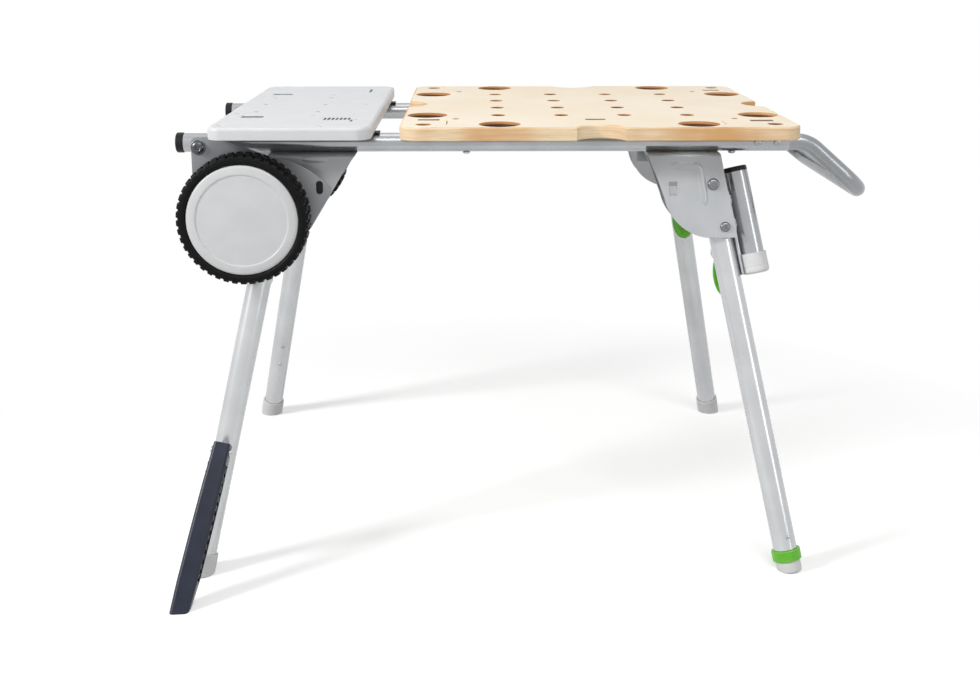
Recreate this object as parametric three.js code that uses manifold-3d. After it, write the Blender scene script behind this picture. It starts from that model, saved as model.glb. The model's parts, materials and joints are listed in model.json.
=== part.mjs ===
// Folding table saw stand: wood worktop, docking plate, four splayed folding legs, two wheels.
// Millimetres, +Z up. +X runs towards the push handle, +Y away from the operator's side.
// The origin is the middle of the footprint on the floor.
import * as THREE from "three";
import { mergeVertices } from "three/addons/utils/BufferGeometryUtils.js";
import Module from "manifold-3d";

const wasm = await Module();
wasm.setup();

// Driving dimensions of the whole stand
const topHeight = 660;
const gap = 0.3;
const runningGap = 0.1;
const overrun = 5;
const weld = 0.0001;
const degree = Math.PI / 180;

// Wood worktop, its middle is X = 0, Y = 0 while building
const wood = {
  length: 576, depth: 568, thickness: 20, corner: 28,
  gridPitch: 96, gridCount: 4, dogRadius: 10,
  clampRadius: 27, clampInset: 36, clampSpread: 144,
  cornerHoleInset: 34, smallRadius: 4.5, smallInsetX: 80, smallInsetY: 97,
  notchRadius: 36, notchDepth: 28, notchSteps: 8, cornerSteps: 5,
};
const woodEnd = wood.length / 2;
const woodBottom = topHeight - wood.thickness;

// Docking plate, a pressed tray with a turned-down lip
const dock = {
  space: 40, length: 233, depth: 570, height: 18, sheet: 3, corner: 22, softEdge: 2,
  slotLength: 33, slotWidth: 26, slotInset: 45.5, slotY: 156,
  holeRadius: 4.5, holePitch: 96, holeInset: 41.5,
};
const dockRight = -woodEnd - dock.space;
const dockLeft = dockRight - dock.length;

// Two frame tubes run along X, the reaches are past the docking plate and past the worktop
const tube = { radius: 14, wall: 1.5, spread: 190, dockReach: 51, woodReach: 1 };
const tubeLeft = dockLeft - tube.dockReach;
const tubeRight = woodEnd + tube.woodReach;
const tubeZ = woodBottom - gap - tube.radius;
const endCap = { radius: 15, length: 11, plug: 18 };
const rail = { width: 30, height: 22, wall: 2, dockInset: 112, woodInset: 228 };

// Push handle, a thinner tube that slides into the frame tubes
const handle = {
  radius: tube.radius - tube.wall - gap, wall: 1.5, insert: 60, straight: 29, slope: 41 * degree,
  reach: 121, bendRadius: 45, cornerRadius: 48, steps: 5,
};
const rivet = { radius: 2.5, head: 5.2, flat: 2.6, rise: 2, rimRise: 1, insets: [48.5, 19.5] };
const topScrew = {
  radius: 2.6, head: 5.5, flat: 2.7, rise: 3, rimRise: 1.5, bite: 12, leftInset: 95.5, rightInset: 83,
};
const seat = { width: 22, foot: 1.6, toe: 7, side: 5 };

// Sheet brackets under the tubes carry the legs, heights are drops below the worktop's face.
// Their outline points and beads are measured from the pivot.
const sheet = 3;
const legTilt = 14 * degree;
const legSplay = 11.46 * degree;
const floorSlope = Math.tan(legTilt + legSplay);
const foldZ = topHeight - 83;
const channelHalf = 23;
const bracketTop = tubeZ - tube.radius - gap;
const rightBracket = {
  pivotInset: 114, pivotDrop: 100, arcRadius: 74, arcFrom: 192 * degree, arcTo: 262 * degree, arcSteps: 7,
  farX: -98.5, farFoldX: -84, topNearX: 10, bottomDrop: 71,
  windowX: -59.8, windowZ: 0, windowWidth: 12.5, windowHeight: 19.5,
  insideWindowX: -51, insideWindowZ: -9, insideWindowWidth: 24, insideWindowHeight: 28,
  beadWidth: 11, beadRise: 2, beadFarX: -66, beadTopZ: 39, beadX: -21, beadLowX: -12, beadLowZ: -25,
  beadLean: 10 * degree, beadSteps: 4,
};
const leftBracket = {
  pivotInset: 71.3, pivotDrop: 175, arcRadius: 42, arcFrom: -95 * degree, arcTo: 20 * degree, arcSteps: 7,
  topFarX: 134.7, bendFarX: 119, bendFarZ: 106, sideFarX: 95, sideFarZ: 66,
  beadLeftX: 54, beadRightX: 93, beadLowZ: 113, beadHighZ: 125, beadRise: 1.5,
};
rightBracket.pivotX = woodEnd - rightBracket.pivotInset;
leftBracket.pivotX = dockLeft + leftBracket.pivotInset;
for (const bracket of [rightBracket, leftBracket]) bracket.pivotZ = topHeight - bracket.pivotDrop;
const web = { start: 15, bladeWidth: 24, bladeLength: 68, shoulder: 10 };
const guideBolt = {
  along: 65.5, across: 4.5, radius: 4, head: 7.5, rimRise: 3.1, face: 6, rise: 4.5,
  socket: 2.8, socketFloor: 1.8, nut: 1.6, nutRadius: 6.5,
};
const pivotBolt = {
  radius: 5, head: 8.8, shoulder: 7, shoulderRise: 3.5, crown: 3.5, rise: 5, nutRadius: 7.5, nutHeight: 5,
};

// Legs, measured along the tube from the pivot
const leg = { radius: 17.5, wall: 1.5, crown: 13 };
const footCap = { radius: 20.5, height: 32, base: 8, round: 5 };
const lever = {
  thickness: 4, lift: 8.5, lean: 5 * degree,
  pinRadius: 3, barrelRadius: 5, earInside: 11, earThickness: 3, earRadius: 7, earSteps: 6,
  steps: 7, swellPower: 0.7, tipPower: 8,
};
const rightLever = { hinge: 102, length: 72, halfWidth: 18.3, tipHalf: 10 };
// The left levers are small and sit high, where the wheel and the leg hide them
const leftLever = { hinge: 62, length: 66, halfWidth: 12.5, tipHalf: 10 };
const shortFoot = {
  standoff: 3.4, above: 20, below: 143, capHeight: 31,
  padWidth: 14, padHeight: 12, padFirst: 27, padSecond: 63,
};
const adjuster = {
  ringRadius: 21.5, ringHeight: 16, ringLobes: 24, lobeDepth: 0.9, footRadius: 18.5, footHeight: 15.5,
  spindleRadius: 6, spindleLength: 46, bossHeight: 9, footRound: 4,
};
const outrigger = {
  footRise: 190, offset: 34.5, width: 29, front: 14, back: 12.5, above: 11, lean: 17.4 * degree,
  topSlope: 36 * degree, lugHalf: 4, lugRadius: 9, pinRadius: 3.5, pinHead: 6, pinRise: 2.2,
  chamfer: 5, slotDepth: 17, heelRise: 27, heelSlope: 14 * degree,
};

// Wheels and their plates, the plate's outline is measured from the left bracket's pivot
const wheel = {
  inset: 48, drop: 132, radius: 95, lugDepth: 3, lugs: 46, lugShare: 0.62, flankShare: 0.02,
  width: 43, frontY: 295, tyreInner: 81,
  hubRadius: 17, rimWall: 5, webThickness: 6, rimDepth: 33, hubFaceInset: 12,
  capRadius: 80, capThickness: 3.4, capDome: 4, capRing: 67, capStep: 1,
};
const wheelX = dockLeft + wheel.inset;
const wheelZ = topHeight - wheel.drop;
const axle = { radius: 6, headRadius: 10, headHeight: 4 };
const plate = {
  backY: 236, thickness: 3, reach: 31, rise: 15.3, ear: 27, shoulderX: 15.7, shoulderZ: 127,
  arcRadius: 126.5, arcEndX: 98.7, arcEndZ: 78, arcSteps: 6, lowX: 98.7, lowZ: 71, heelX: 67.7,
  bottomZ: 20, corner: 9, cornerSteps: 4,
  slotX: 82.2, slotZ: 81, slotWidth: 10, slotHeight: 20, slotSteps: 5,
};
const plateBolt = { inset: 20, radius: 5, head: 9.5, rise: 6, sleeve: 9, flats: 6 };
const plateBoltX = dockLeft - plateBolt.inset;

// Number of flat sides on round pieces
const sides = { large: 36, tube: 20, hole: 12, small: 8, corner: 6 };

const colours = {
  wood: { color: 0xe9d3ae, roughness: 0.6, metalness: 0 },
  dock: { color: 0xd2d3d4, roughness: 0.45, metalness: 0.3 },
  frame: { color: 0x8f9296, roughness: 0.35, metalness: 0.8 },
  leg: { color: 0xd6d8da, roughness: 0.35, metalness: 0.7 },
  bracket: { color: 0xa9acb0, roughness: 0.45, metalness: 0.6 },
  black: { color: 0x17181a, roughness: 0.7, metalness: 0 },
  tyre: { color: 0x111213, roughness: 0.85, metalness: 0 },
  cap: { color: 0xdcdddd, roughness: 0.5, metalness: 0 },
  steel: { color: 0x9ea2a6, roughness: 0.25, metalness: 0.9 },
  green: { color: 0x6cc23a, roughness: 0.5, metalness: 0 },
  foot: { color: 0xd9dad9, roughness: 0.6, metalness: 0 },
  navy: { color: 0x2a3040, roughness: 0.6, metalness: 0 },
};

// The same geometry with its shared corners merged and only its places kept
function welded(geometry) {
  const bare = geometry.clone();
  bare.deleteAttribute("normal");
  bare.deleteAttribute("uv");
  return mergeVertices(bare, weld);
}

// A closed three.js geometry becomes a solid for cutting and joining
function solid(geometry) {
  const merged = welded(geometry);
  const vertProperties = new Float32Array(merged.attributes.position.array);
  const triVerts = new Uint32Array(merged.index.array);
  return new wasm.Manifold(new wasm.Mesh({ numProp: 3, vertProperties, triVerts }));
}

function surface(manifold) {
  const mesh = manifold.getMesh();
  const geometry = new THREE.BufferGeometry();
  geometry.setAttribute("position", new THREE.BufferAttribute(mesh.vertProperties, 3));
  geometry.setIndex(new THREE.BufferAttribute(mesh.triVerts, 1));
  geometry.computeVertexNormals();
  return geometry;
}

function cut(body, ...tools) {
  let result = solid(body);
  for (const tool of tools) result = result.subtract(solid(tool));
  return surface(result);
}

function join(...pieces) {
  let result = solid(pieces[0]);
  for (const piece of pieces.slice(1)) result = result.add(solid(piece));
  return surface(result);
}

function common(first, second) {
  return surface(solid(first).intersect(solid(second)));
}

// A piece's mirror image across the stand's middle, for the far side
function mirrored(geometry) {
  const copy = welded(geometry);
  copy.scale(1, -1, 1);
  const index = copy.index.array;
  for (let i = 0; i < index.length; i += 3) {
    const held = index[i];
    index[i] = index[i + 1];
    index[i + 1] = held;
  }
  copy.computeVertexNormals();
  return copy;
}

// Basic shapes
function roundedRectangle(width, depth, radius) {
  const shape = new THREE.Shape();
  const x = width / 2 - radius;
  const y = depth / 2 - radius;
  shape.absarc(x, y, radius, 0, Math.PI / 2);
  shape.absarc(-x, y, radius, Math.PI / 2, Math.PI);
  shape.absarc(-x, -y, radius, Math.PI, Math.PI * 1.5);
  shape.absarc(x, -y, radius, Math.PI * 1.5, Math.PI * 2);
  return shape;
}

function circlePoints(x, y, radius, count) {
  const points = [];
  for (let i = 0; i < count; i += 1) {
    const angle = (i + 0.5) / count * Math.PI * 2;
    points.push(new THREE.Vector2(x + radius * Math.cos(angle), y + radius * Math.sin(angle)));
  }
  return points;
}

function arcPoints(x, y, radius, from, to, count) {
  const points = [];
  for (let i = 0; i <= count; i += 1) {
    const angle = from + (to - from) * i / count;
    points.push(new THREE.Vector2(x + radius * Math.cos(angle), y + radius * Math.sin(angle)));
  }
  return points;
}

// Arc points as [x, y] pairs, with a squash along y where the arc lies on a tilted cheek
function arcPairs(x, y, radius, from, to, count, squash = 1) {
  return arcPoints(x, y, radius, from, to, count).map((point) => [point.x, point.y * squash]);
}

function extruded(shape, depth, options = {}) {
  const plain = { depth, bevelEnabled: false, curveSegments: sides.corner };
  return new THREE.ExtrudeGeometry(shape, { ...plain, ...options });
}

// An outline in X and Z, given thickness along Y from lowY to highY
function slabXZ(points, lowY, highY, holes = []) {
  const shape = new THREE.Shape(points.map(([x, z]) => new THREE.Vector2(x, z)));
  for (const hole of holes) shape.holes.push(new THREE.Path(hole));
  const geometry = extruded(shape, highY - lowY);
  geometry.rotateX(Math.PI / 2);
  geometry.translate(0, highY, 0);
  return geometry;
}

// An outline in Y and Z, given thickness along X from lowX to highX
function slabYZ(points, lowX, highX) {
  const shape = new THREE.Shape(points.map(([y, z]) => new THREE.Vector2(y, z)));
  const geometry = extruded(shape, highX - lowX);
  geometry.applyMatrix4(new THREE.Matrix4().makeBasis(
    new THREE.Vector3(0, 1, 0), new THREE.Vector3(0, 0, 1), new THREE.Vector3(1, 0, 0),
  ));
  geometry.translate(lowX, 0, 0);
  return geometry;
}

function box(lowX, highX, lowY, highY, lowZ, highZ) {
  const geometry = new THREE.BoxGeometry(highX - lowX, highY - lowY, highZ - lowZ);
  geometry.translate((lowX + highX) / 2, (lowY + highY) / 2, (lowZ + highZ) / 2);
  return geometry;
}

function rodZ(radius, lowZ, highZ, count) {
  const geometry = new THREE.CylinderGeometry(radius, radius, highZ - lowZ, count);
  geometry.rotateX(Math.PI / 2);
  geometry.translate(0, 0, (lowZ + highZ) / 2);
  return geometry;
}

function rodY(radius, lowY, highY, count) {
  const geometry = new THREE.CylinderGeometry(radius, radius, highY - lowY, count);
  geometry.translate(0, (lowY + highY) / 2, 0);
  return geometry;
}

function rodX(radius, lowX, highX, count) {
  const geometry = new THREE.CylinderGeometry(radius, radius, highX - lowX, count);
  geometry.rotateZ(-Math.PI / 2);
  geometry.translate((lowX + highX) / 2, 0, 0);
  return geometry;
}

// A turned piece about the Z axis from [radius, height] pairs
function turnedZ(profile, count) {
  const points = profile.map(([radius, height]) => new THREE.Vector2(radius, height));
  const geometry = new THREE.LatheGeometry(points, count);
  geometry.rotateX(Math.PI / 2);
  return surface(solid(geometry));
}

// A turned piece about the Y axis, its heights grow towards the front
function turnedFront(profile, count) {
  const geometry = turnedZ(profile, count);
  geometry.rotateX(Math.PI / 2);
  return geometry;
}

// A hole whose flats clear a shaft of this radius
function boreRadius(shaftRadius, clearance, count) {
  return (shaftRadius + clearance) / Math.cos(Math.PI / count);
}

// Drills for fastener holes: along Z or along Y, centred on the origin
function drillZ(shaftRadius, lowZ, highZ) {
  return rodZ(boreRadius(shaftRadius, gap, sides.small), lowZ, highZ, sides.small);
}

function drillY(shaftRadius, half) {
  return rodY(boreRadius(shaftRadius, gap, sides.small), -half, half, sides.small);
}

// A path through given points, one cross-section at each
class Route extends THREE.Curve {
  constructor(points) {
    super();
    this.points = points;
  }

  getPoint(t) {
    const last = this.points.length - 1;
    const place = Math.min(t * last, last);
    const index = Math.min(Math.floor(place), last - 1);
    return this.points[index].clone().lerp(this.points[index + 1], place - index);
  }

  getPointAt(t) {
    return this.getPoint(t);
  }

  getTangentAt(t) {
    const last = this.points.length - 1;
    const index = Math.round(t * last);
    const before = this.points[Math.max(index - 1, 0)];
    const after = this.points[Math.min(index + 1, last)];
    return after.clone().sub(before).normalize();
  }
}

// Points of a path with its corners rounded
function roundedPath(corners, radii, steps) {
  const points = [corners[0]];
  for (let i = 1; i < corners.length - 1; i += 1) {
    const toBefore = corners[i - 1].clone().sub(corners[i]).normalize();
    const toAfter = corners[i + 1].clone().sub(corners[i]).normalize();
    const half = toBefore.angleTo(toAfter) / 2;
    const reach = radii[i - 1] / Math.tan(half);
    const middle = toBefore.clone().add(toAfter).normalize();
    const centre = corners[i].clone().addScaledVector(middle, radii[i - 1] / Math.sin(half));
    const from = corners[i].clone().addScaledVector(toBefore, reach).sub(centre);
    const to = corners[i].clone().addScaledVector(toAfter, reach).sub(centre);
    const axis = from.clone().cross(to).normalize();
    const turn = from.angleTo(to);
    for (let j = 0; j <= steps; j += 1) {
      points.push(from.clone().applyAxisAngle(axis, turn * j / steps).add(centre));
    }
  }
  points.push(corners[corners.length - 1]);
  return points;
}

// Scene graph helpers
const stand = new THREE.Group();

function addPiece(parent, name, geometry, finish) {
  const piece = new THREE.Mesh(geometry, new THREE.MeshStandardMaterial(finish));
  piece.name = name;
  parent.add(piece);
  return piece;
}

const ends = [
  { name: "right", sign: 1, bracket: rightBracket, lever: rightLever },
  { name: "left", sign: -1, bracket: leftBracket, lever: leftLever },
];
const rows = [
  { name: "front", sign: -1 },
  { name: "rear", sign: 1 },
];
const rivetPlaces = rivet.insets.map((inset) => tubeRight - inset);
const topScrewPlaces = [topScrew.leftInset - woodEnd, woodEnd - topScrew.rightInset];

// Wood worktop: each quarter of the outline is half of one side's notch and one round corner
function woodOutline() {
  const points = [];
  const { notchRadius, notchSteps, corner, cornerSteps } = wood;
  const offset = notchRadius - wood.notchDepth;
  const halfAngle = Math.acos(offset / notchRadius);
  const middle = new THREE.Vector2(0, 0);
  const down = -Math.PI / 2;
  for (let quarter = 0; quarter < 4; quarter += 1) {
    const half = (quarter % 2 === 0 ? wood.depth : wood.length) / 2;
    const across = (quarter % 2 === 0 ? wood.length : wood.depth) / 2;
    const notch = arcPoints(0, half + offset, notchRadius, down + halfAngle, down - halfAngle, notchSteps);
    const round = arcPoints(corner - across, half - corner, corner, -down, Math.PI, cornerSteps);
    for (const point of [...notch, ...round]) points.push(point.rotateAround(middle, quarter * -down));
  }
  return points;
}

function woodTop() {
  const shape = new THREE.Shape(woodOutline());
  const clampX = woodEnd - wood.clampInset;
  const clampY = wood.depth / 2 - wood.clampInset;
  const cornerX = woodEnd - wood.cornerHoleInset;
  const cornerY = wood.depth / 2 - wood.cornerHoleInset;
  const smallX = woodEnd - wood.smallInsetX;
  const smallY = wood.depth / 2 - wood.smallInsetY;
  const drill = (x, y, radius, count) => {
    shape.holes.push(new THREE.Path(circlePoints(x, y, radius, count)));
  };
  const first = -(wood.gridCount - 1) / 2 * wood.gridPitch;
  for (let column = 0; column < wood.gridCount; column += 1) {
    for (let row = 0; row < wood.gridCount; row += 1) {
      drill(first + column * wood.gridPitch, first + row * wood.gridPitch, wood.dogRadius, sides.small);
    }
  }
  for (const signX of [-1, 1]) {
    for (const signY of [-1, 1]) {
      drill(signX * clampX, signY * wood.clampSpread, wood.clampRadius, sides.hole);
      drill(signX * wood.clampSpread, signY * clampY, wood.clampRadius, sides.hole);
      drill(signX * cornerX, signY * cornerY, wood.dogRadius, sides.small);
      drill(signX * smallX, signY * smallY, wood.smallRadius, sides.small);
    }
  }
  const board = extruded(shape, wood.thickness);
  board.translate(0, 0, woodBottom);
  const screwHoles = [];
  for (const x of topScrewPlaces) {
    for (const row of rows) {
      const hole = drillZ(topScrew.radius, woodBottom - overrun, woodBottom + topScrew.bite + gap);
      hole.translate(x, row.sign * tube.spread, 0);
      screwHoles.push(hole);
    }
  }
  return cut(board, ...screwHoles);
}

addPiece(stand, "wood_top", woodTop(), colours.wood);

// Docking plate
function dockingPlate() {
  const middle = (dockLeft + dockRight) / 2;
  const soft = {
    bevelEnabled: true, bevelThickness: dock.softEdge, bevelSize: dock.softEdge,
    bevelOffset: -dock.softEdge, bevelSegments: 1,
  };
  const outer = extruded(roundedRectangle(dock.length, dock.depth, dock.corner), dock.height, soft);
  outer.translate(middle, 0, topHeight - dock.height - dock.softEdge);
  const inner = extruded(
    roundedRectangle(dock.length - 2 * dock.sheet, dock.depth - 2 * dock.sheet, dock.corner - dock.sheet),
    dock.height + overrun,
  );
  inner.translate(middle, 0, topHeight - dock.sheet - dock.height - overrun);
  const below = box(
    dockLeft - overrun, dockRight + overrun, -dock.depth, dock.depth,
    topHeight - 2 * dock.height, topHeight - dock.height,
  );
  const tools = [inner, below];
  const low = topHeight - dock.sheet - overrun;
  for (const row of rows) {
    const opening = roundedRectangle(dock.slotLength, dock.slotWidth, dock.softEdge);
    const slot = extruded(opening, dock.sheet + 2 * overrun);
    slot.translate(dockLeft + dock.slotInset, row.sign * dock.slotY, low);
    tools.push(slot);
  }
  for (const column of [0, 1]) {
    for (const step of [-1, 0, 1]) {
      const hole = rodZ(dock.holeRadius, low, topHeight + overrun, sides.small);
      hole.translate(dockLeft + dock.holeInset + column * dock.holePitch, step * dock.holePitch, 0);
      tools.push(hole);
    }
  }
  return cut(outer, ...tools);
}

addPiece(stand, "docking_plate", dockingPlate(), colours.dock);

// Seat strip between a tube and the docking plate, its toe shows past the lip
function seatStrip() {
  const low = tubeZ + tube.radius + gap;
  const high = topHeight - dock.sheet - gap;
  const left = dockLeft + dock.sheet + seat.side;
  const right = dockRight - dock.sheet - seat.side;
  const points = [
    [left, low],
    [dockRight + seat.toe, low],
    [dockRight + seat.toe, low + seat.foot],
    [right, low + seat.foot],
    [right, high],
    [left, high],
  ];
  return slabXZ(points, -seat.width / 2, seat.width / 2);
}

// Frame tubes, end caps and what is fixed in them
function frameTube() {
  const outside = rodX(tube.radius, tubeLeft, tubeRight, sides.tube);
  const inside = rodX(tube.radius - tube.wall, tubeLeft - overrun, tubeRight + overrun, sides.tube);
  const through = tube.radius + overrun;
  const holes = [];
  for (const x of rivetPlaces) {
    const hole = drillY(rivet.radius, through);
    hole.translate(x, 0, 0);
    holes.push(hole);
  }
  for (const x of topScrewPlaces) {
    const hole = drillZ(topScrew.radius, -through, through);
    hole.translate(x, 0, 0);
    holes.push(hole);
  }
  const boltHole = drillY(plateBolt.radius, through);
  boltHole.translate(plateBoltX, 0, 0);
  return cut(outside, inside, boltHole, ...holes);
}

function tubeEndCap() {
  const plug = tube.radius - tube.wall - gap;
  const face = tubeLeft - gap;
  const plugEnd = Math.min(face + endCap.plug, plateBoltX - plateBolt.radius - gap);
  return join(
    rodX(endCap.radius, face - endCap.length, face, sides.tube),
    rodX(plug, face - endCap.length / 2, plugEnd, sides.tube),
  );
}

function handleRivet() {
  const half = tube.radius + gap;
  const { radius, head, flat, rise, rimRise } = rivet;
  const profile = [
    [0, -half - rise], [flat, -half - rise], [head, -half - rimRise], [head, -half], [radius, -half],
    [radius, half], [head, half], [head, half + rimRise], [flat, half + rise], [0, half + rise],
  ];
  return turnedFront(profile, sides.small);
}

function worktopScrew() {
  const seatZ = tubeZ - tube.radius - gap;
  const tip = woodBottom + topScrew.bite;
  const { radius, head, flat, rise, rimRise } = topScrew;
  const profile = [
    [0, seatZ - rise], [flat, seatZ - rise], [head, seatZ - rimRise], [head, seatZ], [radius, seatZ],
    [radius, tip], [0, tip],
  ];
  return turnedZ(profile, sides.small);
}

for (const row of rows) {
  const place = (name, geometry, finish, x = 0, z = tubeZ) => {
    addPiece(stand, name, geometry, finish).position.set(x, row.sign * tube.spread, z);
  };
  place(`frame_tube_${row.name}`, frameTube(), colours.frame);
  place(`tube_cap_${row.name}`, tubeEndCap(), colours.black);
  place(`plate_seat_${row.name}`, seatStrip(), colours.black, 0, 0);
  place(`handle_rivet_${row.name}_1`, handleRivet(), colours.steel, rivetPlaces[0]);
  place(`handle_rivet_${row.name}_2`, handleRivet(), colours.steel, rivetPlaces[1]);
  place(`top_screw_${row.name}_left`, worktopScrew(), colours.steel, topScrewPlaces[0], 0);
  place(`top_screw_${row.name}_right`, worktopScrew(), colours.steel, topScrewPlaces[1], 0);
}

// Cross rails are open box tubes between the frame tubes
function crossRail() {
  const reach = tube.spread - tube.radius - gap;
  const outside = box(-rail.width / 2, rail.width / 2, -reach, reach, -rail.height / 2, rail.height / 2);
  const x = rail.width / 2 - rail.wall;
  const z = rail.height / 2 - rail.wall;
  return cut(outside, box(-x, x, -reach - overrun, reach + overrun, -z, z));
}

const railLeft = addPiece(stand, "cross_rail_left", crossRail(), colours.frame);
railLeft.position.set(dockRight - rail.dockInset, 0, tubeZ);
const railRight = addPiece(stand, "cross_rail_right", crossRail(), colours.frame);
railRight.position.set(woodEnd - rail.woodInset, 0, tubeZ);

// Push handle: two sloping arms and a crossbar
function pushHandle() {
  const start = tubeRight - handle.insert;
  const bendX = tubeRight + handle.straight;
  const lowX = bendX + handle.reach * Math.cos(handle.slope);
  const lowZ = -handle.reach * Math.sin(handle.slope);
  const corners = [
    new THREE.Vector3(start, -tube.spread, 0),
    new THREE.Vector3(bendX, -tube.spread, 0),
    new THREE.Vector3(lowX, -tube.spread, lowZ),
    new THREE.Vector3(lowX, tube.spread, lowZ),
    new THREE.Vector3(bendX, tube.spread, 0),
    new THREE.Vector3(start, tube.spread, 0),
  ];
  const radii = [handle.bendRadius, handle.cornerRadius, handle.cornerRadius, handle.bendRadius];
  const points = roundedPath(corners, radii, handle.steps);
  const section = new THREE.Shape(circlePoints(0, 0, handle.radius, sides.hole));
  const sweep = extruded(section, 0, { extrudePath: new Route(points), steps: points.length - 1 });
  const holes = [];
  for (const row of rows) {
    for (const x of rivetPlaces) {
      const hole = drillY(rivet.radius, tube.radius);
      hole.translate(x, row.sign * tube.spread, 0);
      holes.push(hole);
    }
    const bore = rodX(handle.radius - handle.wall, start - overrun, tubeRight, sides.hole);
    bore.translate(0, row.sign * tube.spread, 0);
    holes.push(bore);
  }
  return cut(sweep, ...holes);
}

addPiece(stand, "push_handle", pushHandle(), colours.frame).position.z = tubeZ;

// Section of a folded channel: upright under the tube, then tilted outwards below the fold.
// It is drawn for the front row, outwards is -Y, relative to the tube's centre line and the fold.
function channelSection(half, top, bottom) {
  const side = (sign) => {
    const bendZ = -sign * half * Math.tan(legTilt / 2);
    const lowY = sign * half + (bottom - bendZ) * Math.tan(legTilt);
    return [[sign * half, top], [sign * half, bendZ], [lowY, bottom]];
  };
  return [...side(-1), ...side(1).reverse()];
}

function channelPrism(half, top, bottom, reach) {
  return slabYZ(channelSection(half, top, bottom), -reach, reach);
}

// Cheek outlines, X and Z relative to the pivot as seen from the front
function rightOutline() {
  const b = rightBracket;
  const squash = Math.cos(legTilt);
  const top = bracketTop - b.pivotZ;
  const fold = foldZ - b.pivotZ;
  const edge = (leg.radius + gap + sheet) / Math.cos(legSplay);
  const slope = Math.tan(legSplay) / squash;
  return [
    [b.farX, top], [b.farFoldX, fold],
    ...arcPairs(0, 0, b.arcRadius, b.arcFrom, b.arcTo, b.arcSteps, squash),
    [edge + b.bottomDrop * slope, -b.bottomDrop], [edge - fold * slope, fold], [b.topNearX, top],
  ];
}

function leftOutline() {
  const b = leftBracket;
  const squash = Math.cos(legTilt);
  const top = bracketTop - b.pivotZ;
  const low = -b.arcRadius * squash;
  const edge = (leg.radius + gap + sheet) / Math.cos(legSplay);
  const nearX = (z) => z * Math.tan(legSplay) / squash - edge;
  return [
    [nearX(top), top], [nearX(low), low],
    ...arcPairs(0, 0, b.arcRadius, b.arcFrom, b.arcTo, b.arcSteps, squash),
    [b.sideFarX, b.sideFarZ], [b.bendFarX, b.bendFarZ], [b.topFarX, top],
  ];
}

// Stop web between the cheeks, on the side that the splayed leg leans on
function stopWeb(end, reach) {
  const low = -reach;
  const wide = channelHalf + sheet / 2;
  const narrow = web.bladeWidth / 2;
  const inner = leg.radius + gap;
  if (end.sign < 0) return box(-inner - sheet, -inner, -wide, wide, low, -web.start);
  const outline = [
    [-wide, -web.start], [wide, -web.start], [wide, low], [narrow, low - web.shoulder],
    [narrow, low - web.bladeLength], [-narrow, low - web.bladeLength], [-narrow, low - web.shoulder],
    [-wide, low],
  ];
  return slabYZ(outline, inner, inner + sheet);
}

// From the leg's own frame at the pivot to the bracket's frame at the pivot, front row
function legMatrix(end) {
  const drop = (foldZ - end.bracket.pivotZ) / Math.cos(legTilt);
  const place = new THREE.Matrix4().makeTranslation(0, 0, foldZ - end.bracket.pivotZ);
  place.multiply(new THREE.Matrix4().makeRotationX(-legTilt));
  place.multiply(new THREE.Matrix4().makeTranslation(0, 0, -drop));
  place.multiply(new THREE.Matrix4().makeRotationY(-end.sign * legSplay));
  return place;
}

function legBracket(end) {
  const b = end.bracket;
  const outline = end.sign > 0 ? rightOutline() : leftOutline();
  const top = bracketTop - foldZ;
  const bottom = -(foldZ - b.pivotZ) - b.arcRadius - 2 * overrun;
  const reach = wood.length;
  const deep = 2 * b.arcRadius + channelHalf;
  const prism = (half, high, low, extent) => {
    const geometry = channelPrism(half, high, low, extent);
    geometry.translate(0, 0, foldZ - b.pivotZ);
    return geometry;
  };
  const outer = prism(channelHalf + sheet, top, bottom, reach);
  const inner = prism(channelHalf, top - sheet, bottom - overrun, reach + overrun);
  const shell = common(cut(outer, inner), slabXZ(outline, -deep, deep));
  const beadOuter = prism(channelHalf + sheet + b.beadRise, top, bottom, reach);
  const beadInner = prism(channelHalf + sheet / 2, top + overrun, bottom - overrun, reach + overrun);
  const bead = common(cut(beadOuter, beadInner), slabXZ(beadOutline(end), -deep, 0));
  const stop = stopWeb(end, end.sign > 0 ? b.bottomDrop / Math.cos(legTilt) : b.arcRadius);
  stop.applyMatrix4(legMatrix(end));
  const pivotHole = drillY(pivotBolt.radius, 2 * channelHalf);
  pivotHole.applyMatrix4(legMatrix(end));
  const tools = [pivotHole];
  if (end.sign > 0) {
    const outside = [b.windowX, b.windowZ, b.windowWidth, b.windowHeight, -deep, 0];
    const inside = [
      b.insideWindowX, b.insideWindowZ, b.insideWindowWidth, b.insideWindowHeight, 0, deep,
    ];
    for (const [x, z, width, height, near, far] of [outside, inside]) {
      tools.push(box(x - width / 2, x + width / 2, near, far, z - height / 2, z + height / 2));
    }
    const guideHole = drillY(guideBolt.radius, channelHalf);
    guideHole.translate(guideBolt.across, -channelHalf, -guideBolt.along);
    guideHole.applyMatrix4(legMatrix(end));
    tools.push(guideHole);
  }
  return cut(join(shell, bead, stop), ...tools);
}

// Pressed beads on the outer cheek: an L on the right bracket, a bar on the left one
function beadOutline(end) {
  const b = end.bracket;
  if (end.sign < 0) {
    const { beadLeftX: left, beadRightX: right, beadLowZ: low, beadHighZ: high } = b;
    return [[left, low], [right, low], [right, high], [left, high]];
  }
  const half = b.beadWidth / 2;
  const halfTurn = Math.PI;
  const lean = b.beadLean;
  const tip = arcPairs(b.beadFarX, b.beadTopZ, half, halfTurn / 2, halfTurn * 3 / 2, b.beadSteps);
  const toe = arcPairs(b.beadLowX, b.beadLowZ, half, halfTurn + lean, 2 * halfTurn + lean, b.beadSteps);
  return [
    ...tip, [b.beadX - half - half, b.beadTopZ - half], [b.beadX - half, b.beadTopZ - 2 * half],
    ...toe, [b.beadX + half, b.beadTopZ - half], [b.beadX, b.beadTopZ + half],
  ];
}

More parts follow.
